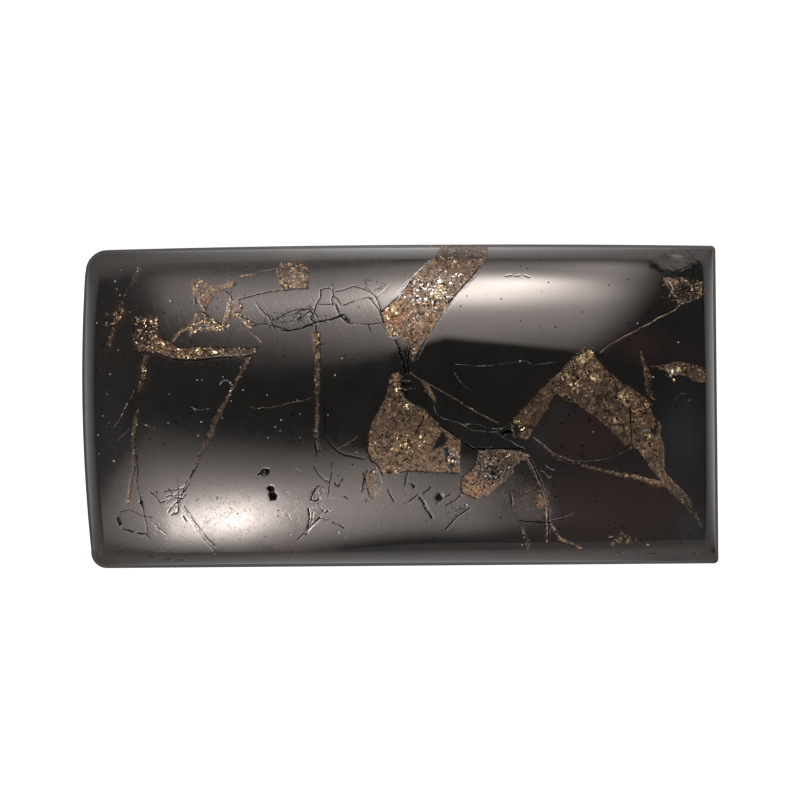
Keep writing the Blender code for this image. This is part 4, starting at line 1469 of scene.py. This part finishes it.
def crack_group():
    """Masks of the cracks: open ones, pinholes and fine nets, painted black as shade; crushed white ones
    and chips, partly painted glints, with painted highlights along open cracks; stained ones.
    """
    graph, given = new_group(
        "crack_masks",
        {"Open": FLOAT, "Crushed": FLOAT, "Stained": FLOAT, "Speck": FLOAT, "Area": FLOAT},
        {"Black": FLOAT, "White": FLOAT, "Stain": FLOAT},
    )
    place = graph.node("ShaderNodeTexCoord").outputs["Object"]
    broken = graph.noise(place, 0.35, 3.0, 0.6)
    crumbs = graph.noise(place, 0.09, 1.0)
    wander = graph.math("MULTIPLY", graph.math("SUBTRACT", broken, 0.5), 1.6)
    # Painted shade: open cracks and pits are black
    black = graph.ramp(graph.math("ADD", given["Open"], wander), 0.05, 0.5)
    black = graph.math("MULTIPLY", black, graph.ramp(graph.noise(place, 0.6), 0.36, 0.43, 0.15, 1.0))

    # The fine net of crushed parts: black lines of painted shade
    area = graph.math("ADD", given["Area"], graph.math("MULTIPLY", wander, 0.5))
    area = graph.ramp(area, 0.4, 0.6)
    splinters = {"Vector": place, "Rotation": (0, 0, 0.4), "Scale": (2.2, 1, 1)}
    splinters = graph.node("ShaderNodeMapping", splinters, vector_type="TEXTURE").outputs[0]
    gap = graph.cells(graph.drifted(splinters, 0.3, 0.1), 0.36, "DISTANCE_TO_EDGE").outputs["Distance"]
    net = graph.math("MULTIPLY", graph.ramp(gap, 0.09, 0.02, 0.0, 0.75), graph.ramp(crumbs, 0.35, 0.5))
    net = graph.math("MULTIPLY", net, area)
    # Pinholes: black dots of painted shade
    hole = graph.cells(place, 0.42)
    chosen = graph.node("ShaderNodeSeparateColor", {"Color": hole.outputs["Color"]}).outputs[0]
    chosen = graph.ramp(chosen, 0.6, 0.9)
    pinhole = graph.math("MULTIPLY", graph.ramp(hole.outputs["Distance"], 0.19, 0.09), chosen)
    black = graph.math("MAXIMUM", black, graph.math("MAXIMUM", net, pinhole))

    # Bright cracks are white: crushed stone, and partly painted glints
    white = graph.ramp(graph.math("ADD", given["Crushed"], graph.math("MULTIPLY", wander, 1.6)), 0.25, 0.85)
    white = graph.math("MULTIPLY", white, graph.ramp(crumbs, 0.4, 0.6, 0.25, 1.0))
    white = graph.math("MULTIPLY", white, graph.ramp(graph.noise(place, 0.8), 0.4, 0.6, 0.3, 1.0))
    # Painted highlight: faint white along the sides of open cracks
    edges = graph.math("SUBTRACT", 1.0, graph.math("ABSOLUTE", graph.math("ADD", given["Open"], 0.35)))
    edges = graph.math("MULTIPLY", graph.ramp(edges, 0.35, 0.9), graph.ramp(broken, 0.56, 0.68))
    # Painted glints: white chips in the crushed net
    chips = graph.math("MULTIPLY", graph.ramp(gap, 0.2, 0.12), graph.ramp(crumbs, 0.64, 0.72, 0.0, 0.5))
    chips = graph.math("MULTIPLY", area, chips)
    white = graph.math("MAXIMUM", white, graph.math("MAXIMUM", graph.math("MULTIPLY", edges, 0.28), chips))
    white = graph.math("MAXIMUM", white, graph.ramp(given["Speck"], -0.1, 0.3))
    stain = graph.ramp(graph.math("ADD", given["Stained"], wander), -0.2, 0.5)
    return close_group(graph, {"Black": black, "White": white, "Stain": stain})


def stone_material(name, groups, sawn):
    """Black stone, filling and cracks laid over each other by the stone's named values."""
    material = bpy.data.materials.new(name)
    material.use_nodes = True
    graph = Graph(material.node_tree)
    place = graph.node("ShaderNodeTexCoord").outputs["Object"]
    stone = graph.laid(groups["stone"], Brown="brown_black", Blue="blue_black", Rust="rust")
    filling = graph.laid(groups["filling"], Silver="silver", Rust="rust", Gold="gold", Dimness="dim")
    cracks = graph.laid(
        groups["cracks"], Open="open_crack", Crushed="crushed_crack", Stained="stained_crack",
        Speck="speck", Area="crushed_area",
    )
    if sawn:
        stone.inputs["Dullness"].default_value = 1.0
    else:
        graph.tree.links.new(graph.measured("dull"), stone.inputs["Dullness"])

    shred = graph.noise(place, 0.13, 2.0, 0.6)
    wobble = graph.math("SUBTRACT", graph.noise(place, 0.25, 4.0, 0.7), 0.5)
    sparse = graph.measured("sparse")
    wobble = graph.math("MULTIPLY", wobble, graph.ramp(sparse, 0.0, 1.0, 0.3, 1.3))
    vein = graph.ramp(graph.math("ADD", graph.measured("vein"), wobble), -0.015, 0.03)
    missing = graph.math("MULTIPLY", sparse, 0.29)
    kept = graph.math("SUBTRACT", shred, missing)
    vein = graph.math("MULTIPLY", vein, graph.ramp(kept, 0.28, 0.35))
    strays = graph.ramp(graph.measured("vein"), -0.25, 0.0)
    strays = graph.math("MULTIPLY", strays, graph.ramp(shred, 0.63, 0.68))
    vein = graph.math("MAXIMUM", vein, graph.math("MULTIPLY", strays, 0.8))
    frayed = graph.math("MULTIPLY", graph.math("SUBTRACT", shred, 0.5), 4.0)
    free_gold = graph.ramp(graph.math("ADD", graph.measured("gold"), frayed), 0.35, 0.6)
    vein = graph.math("MAXIMUM", vein, free_gold)
    stain = cracks.outputs["Stain"]
    filled = graph.math("MAXIMUM", vein, stain)
    colour = graph.blend(filled, stone.outputs["Colour"], filling.outputs["Colour"])
    # Painted shade: open cracks, pits, pinholes and nets are coloured black
    colour = graph.blend(cracks.outputs["Black"], colour, CRACK_PAINTED_SHADE)
    # The white marks: crushed stone and specks, partly painted glints and highlights
    colour = graph.blend(cracks.outputs["White"], colour, CRUSHED_WHITE_AND_GLINTS)
    keep = graph.math("SUBTRACT", 1.0, cracks.outputs["White"])
    # Open cracks become a black metal, so the polish's reflection is taken out of them: painted shade
    metal = graph.math("MULTIPLY", filled, filling.outputs["Metal"])
    metal = graph.math("MULTIPLY", graph.math("MAXIMUM", metal, cracks.outputs["Black"]), keep)
    rough = {0: filled, 2: stone.outputs["Roughness"], 3: filling.outputs["Roughness"]}
    rough = graph.node("ShaderNodeMix", rough).outputs[0]
    crushed = graph.math("MULTIPLY", cracks.outputs["White"], CRUSHED_ROUGHNESS)
    rough = graph.math("MAXIMUM", rough, crushed)
    if sawn:
        rough = graph.math("MAXIMUM", rough, SAWN_ROUGHNESS)

    lean = {0: filling.outputs["Lean"], "Scale": filled}
    lean = graph.node("ShaderNodeVectorMath", lean, operation="SCALE").outputs[0]
    outward = graph.node("ShaderNodeNewGeometry").outputs["Normal"]
    leaning = graph.node("ShaderNodeVectorMath", {0: outward, 1: lean}, operation="ADD")
    leaning = graph.node("ShaderNodeVectorMath", {0: leaning.outputs[0]}, operation="NORMALIZE")
    if sawn:
        saw = {"Vector": place, "Scale": (0.02, 1.0, 1.0), "Rotation": (0, 0, 0.2)}
        saw = graph.node("ShaderNodeMapping", saw).outputs[0]
        height = graph.math("MULTIPLY", graph.noise(saw, SAW_MARK_SIZE, 2.0), SAW_MARK_DEPTH)
    else:
        height = graph.math("MULTIPLY", stone.outputs["Height"], -SCRATCH_DEPTH)
    inputs = {"Strength": 1.0, "Distance": MM, "Height": height, "Normal": leaning.outputs[0]}
    bump = graph.node("ShaderNodeBump", inputs)
    shader = graph.node(
        "ShaderNodeBsdfPrincipled",
        {
            "Base Color": colour,
            "Metallic": metal,
            "Roughness": rough,
            "IOR": STONE_IOR,
            "Specular Tint": SHEEN_TINT,
            "Normal": bump.outputs[0],
        },
    )
    graph.node("ShaderNodeOutputMaterial", {"Surface": shader.outputs[0]})
    return material


# Studio


def light_axes(box):
    """The unit vectors of a light box: towards its middle, and along its two sides."""
    azimuth, elevation, roll = (math.radians(box[name]) for name in ("azimuth", "elevation", "roll"))
    towards = np.array([
        math.sin(azimuth) * math.cos(elevation),
        math.cos(azimuth) * math.cos(elevation),
        math.sin(elevation),
    ])
    across = np.array([math.cos(azimuth), -math.sin(azimuth), 0.0]) * box["hand"]
    upward = np.cross(across, towards)
    upward *= math.copysign(1, upward[2])
    turned = across * math.cos(roll) + upward * math.sin(roll)
    return towards, turned, upward * math.cos(roll) - across * math.sin(roll)


def light_box_group():
    """The light that comes from a soft box: a bright core in wider glows. Its high edge may be bent."""
    parts = ("Core", "Glow", "Wash", "Tail")
    values = [
        "Left Edge", "Right Edge", "Low Edge", "High Edge", "Left Softness", "Right Softness",
        "Low Softness", "High Softness", "High Bend", "High Slant", "Even Light",
    ]
    of_each = ("Light", "Across", "Up", "Width", "Height")
    values += [f"{part} {value}" for part in parts for value in of_each]
    sockets = {"Direction": VECTOR, "Towards": VECTOR, "Across": VECTOR, "Upward": VECTOR}
    sockets.update(dict.fromkeys(values, FLOAT))
    graph, given = new_group("light_box", sockets, {"Light": FLOAT})

    def dot(name):
        inputs = {0: given["Direction"], 1: given[name]}
        return graph.node("ShaderNodeVectorMath", inputs, operation="DOT_PRODUCT").outputs["Value"]

    facing = dot("Towards")
    reach = graph.math("MAXIMUM", facing, 0.05)
    across = graph.math("DIVIDE", dot("Across"), reach)
    upward = graph.math("DIVIDE", dot("Upward"), reach)
    mask = graph.ramp(facing, 0.05, 0.1)
    bend = graph.math("ABSOLUTE", graph.math("SUBTRACT", across, given["High Bend"]))
    bent = graph.math("SUBTRACT", upward, graph.math("MULTIPLY", bend, given["High Slant"]))
    edges = ((across, "Left", 1), (across, "Right", -1), (upward, "Low", 1), (bent, "High", -1))
    for place, edge, side in edges:
        inside = graph.math("MULTIPLY", graph.math("SUBTRACT", place, given[edge + " Edge"]), side)
        softness = given[edge + " Softness"]
        inside = graph.ramp(inside, graph.math("MULTIPLY", softness, -1), softness)
        mask = graph.math("MULTIPLY", mask, inside)

    light = given["Even Light"]
    for part in parts:
        fade = 0.0
        for value, middle, size in ((across, " Across", " Width"), (upward, " Up", " Height")):
            share = graph.math("SUBTRACT", value, given[part + middle])
            share = graph.math("DIVIDE", share, given[part + size])
            fade = graph.math("ADD", fade, graph.math("MULTIPLY", share, share))
        fade = graph.math("EXPONENT", graph.math("MULTIPLY", fade, -0.5))
        light = graph.math("ADD", light, graph.math("MULTIPLY", given[part + " Light"], fade))
    return close_group(graph, {"Light": graph.math("MULTIPLY", light, mask)})


def side_light(graph, direction, sides, sharpness):
    """The brightness towards the back, front, left and right, each fading out around the room."""
    part = graph.node("ShaderNodeSeparateXYZ", {0: direction})
    total = 0.0
    for side, socket, sign in (("back", 1, 1), ("front", 1, -1), ("left", 0, -1), ("right", 0, 1)):
        facing = graph.math("MAXIMUM", graph.math("MULTIPLY", part.outputs[socket], sign), 0.0)
        facing = graph.math("POWER", facing, sharpness)
        total = graph.math("ADD", total, graph.math("MULTIPLY", facing, sides[side]))
    return total


def studio_world():
    """Two soft boxes in a dark room over a white table. The camera itself sees a white backdrop."""
    world = bpy.data.worlds.new("studio")
    world.use_nodes = True
    graph = Graph(world.node_tree)
    direction = graph.node("ShaderNodeTexCoord").outputs["Generated"]
    group = light_box_group()
    total = 0.0
    for box in LIGHT_BOXES:
        towards, across, upward = light_axes(box)
        inputs = {"Direction": direction, "Towards": towards, "Across": across, "Upward": upward}
        inputs.update({name: value for name, value in box.items() if name[0].isupper()})
        light = graph.node("ShaderNodeGroup", inputs, node_tree=group)
        total = graph.math("ADD", total, light.outputs["Light"])
    total = graph.math("ADD", total, side_light(graph, direction, ROOM_SIDES, ROOM_SHARPNESS))
    height = graph.node("ShaderNodeSeparateXYZ", {0: direction}).outputs[2]
    far_table = side_light(graph, direction, TABLE_SIDES, TABLE_SHARPNESS)
    far_table = graph.math("MULTIPLY", far_table, TABLE_FAR_SHARE)
    room = {0: graph.ramp(height, -HORIZON_FADE, 0.0), 2: far_table, 3: total}
    room = graph.node("ShaderNodeMix", room).outputs[0]
    seen = graph.node("ShaderNodeLightPath").outputs["Is Camera Ray"]
    shown = graph.node("ShaderNodeMix", {0: seen, 2: room, 3: 1.0}).outputs[0]
    background = graph.node("ShaderNodeBackground", {"Color": PURE_WHITE, "Strength": shown})
    graph.node("ShaderNodeOutputWorld", {"Surface": background.outputs[0]})
    bpy.context.scene.world = world


def white_table():
    """The plain white table. The stone mirrors it dimmer than it looks, and brighter on some sides."""
    mesh = bpy.data.meshes.new("table")
    half = TABLE_SIZE / 2 * MM
    level = -TABLE_GAP * MM
    corners = [(-half, -half, level), (half, -half, level), (half, half, level), (-half, half, level)]
    mesh.from_pydata(corners, [], [(0, 1, 2, 3)])
    material = bpy.data.materials.new("white_table")
    material.use_nodes = True
    graph = Graph(material.node_tree)
    place = graph.node("ShaderNodeNewGeometry").outputs["Position"]
    outward = graph.node("ShaderNodeVectorMath", {0: place}, operation="NORMALIZE").outputs[0]
    distance = graph.node("ShaderNodeVectorMath", {0: place}, operation="LENGTH").outputs["Value"]
    fading = graph.ramp(distance, TABLE_NEAR * MM, TABLE_FAR * MM, 1.0, TABLE_FAR_SHARE)
    mirrored = side_light(graph, outward, TABLE_SIDES, TABLE_SHARPNESS)
    mirrored = graph.math("MULTIPLY", mirrored, fading)
    seen = graph.node("ShaderNodeLightPath").outputs["Is Camera Ray"]
    glow = graph.node("ShaderNodeMix", {0: seen, 2: mirrored, 3: TABLE_GLOW}).outputs[0]
    shader = graph.node(
        "ShaderNodeBsdfPrincipled",
        {
            "Base Color": graph.blend(seen, NO_COLOUR, TABLE_WHITE),
            "Roughness": 0.8,
            "Specular IOR Level": 0.0,
            "Emission Color": PURE_WHITE,
            "Emission Strength": glow,
        },
    )
    graph.node("ShaderNodeOutputMaterial", {"Surface": shader.outputs[0]})
    mesh.materials.append(material)
    table = bpy.data.objects.new("table", mesh)
    bpy.context.scene.collection.objects.link(table)


def overhead_camera():
    """A long lens straight above, framed as the photograph is."""
    data = bpy.data.cameras.new("overhead")
    data.sensor_width = SENSOR
    data.lens = SENSOR * VIEW_HEIGHT / (PHOTO_SIZE * PLAN_SCALE)
    data.clip_start = VIEW_HEIGHT / 10 * MM
    data.clip_end = VIEW_HEIGHT * 20 * MM
    camera = bpy.data.objects.new("overhead", data)
    camera.location = (VIEW_X * MM, VIEW_Y * MM, VIEW_HEIGHT * MM)
    bpy.context.scene.collection.objects.link(camera)
    bpy.context.scene.camera = camera


def main():
    bpy.context.scene.view_settings.view_transform = "Standard"
    overhead_camera()
    studio_world()
    white_table()

    groups = {"stone": black_stone_group(), "filling": vein_filling_group(), "cracks": crack_group()}
    mesh = dressed_stone()
    mesh.materials.append(stone_material("polished_shungite", groups, False))
    mesh.materials.append(stone_material("sawn_shungite", groups, True))
    stone = bpy.data.objects.new("shungite_cabochon", mesh)
    bpy.context.scene.collection.objects.link(stone)
    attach(stone, "root")
    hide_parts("stone")


main()
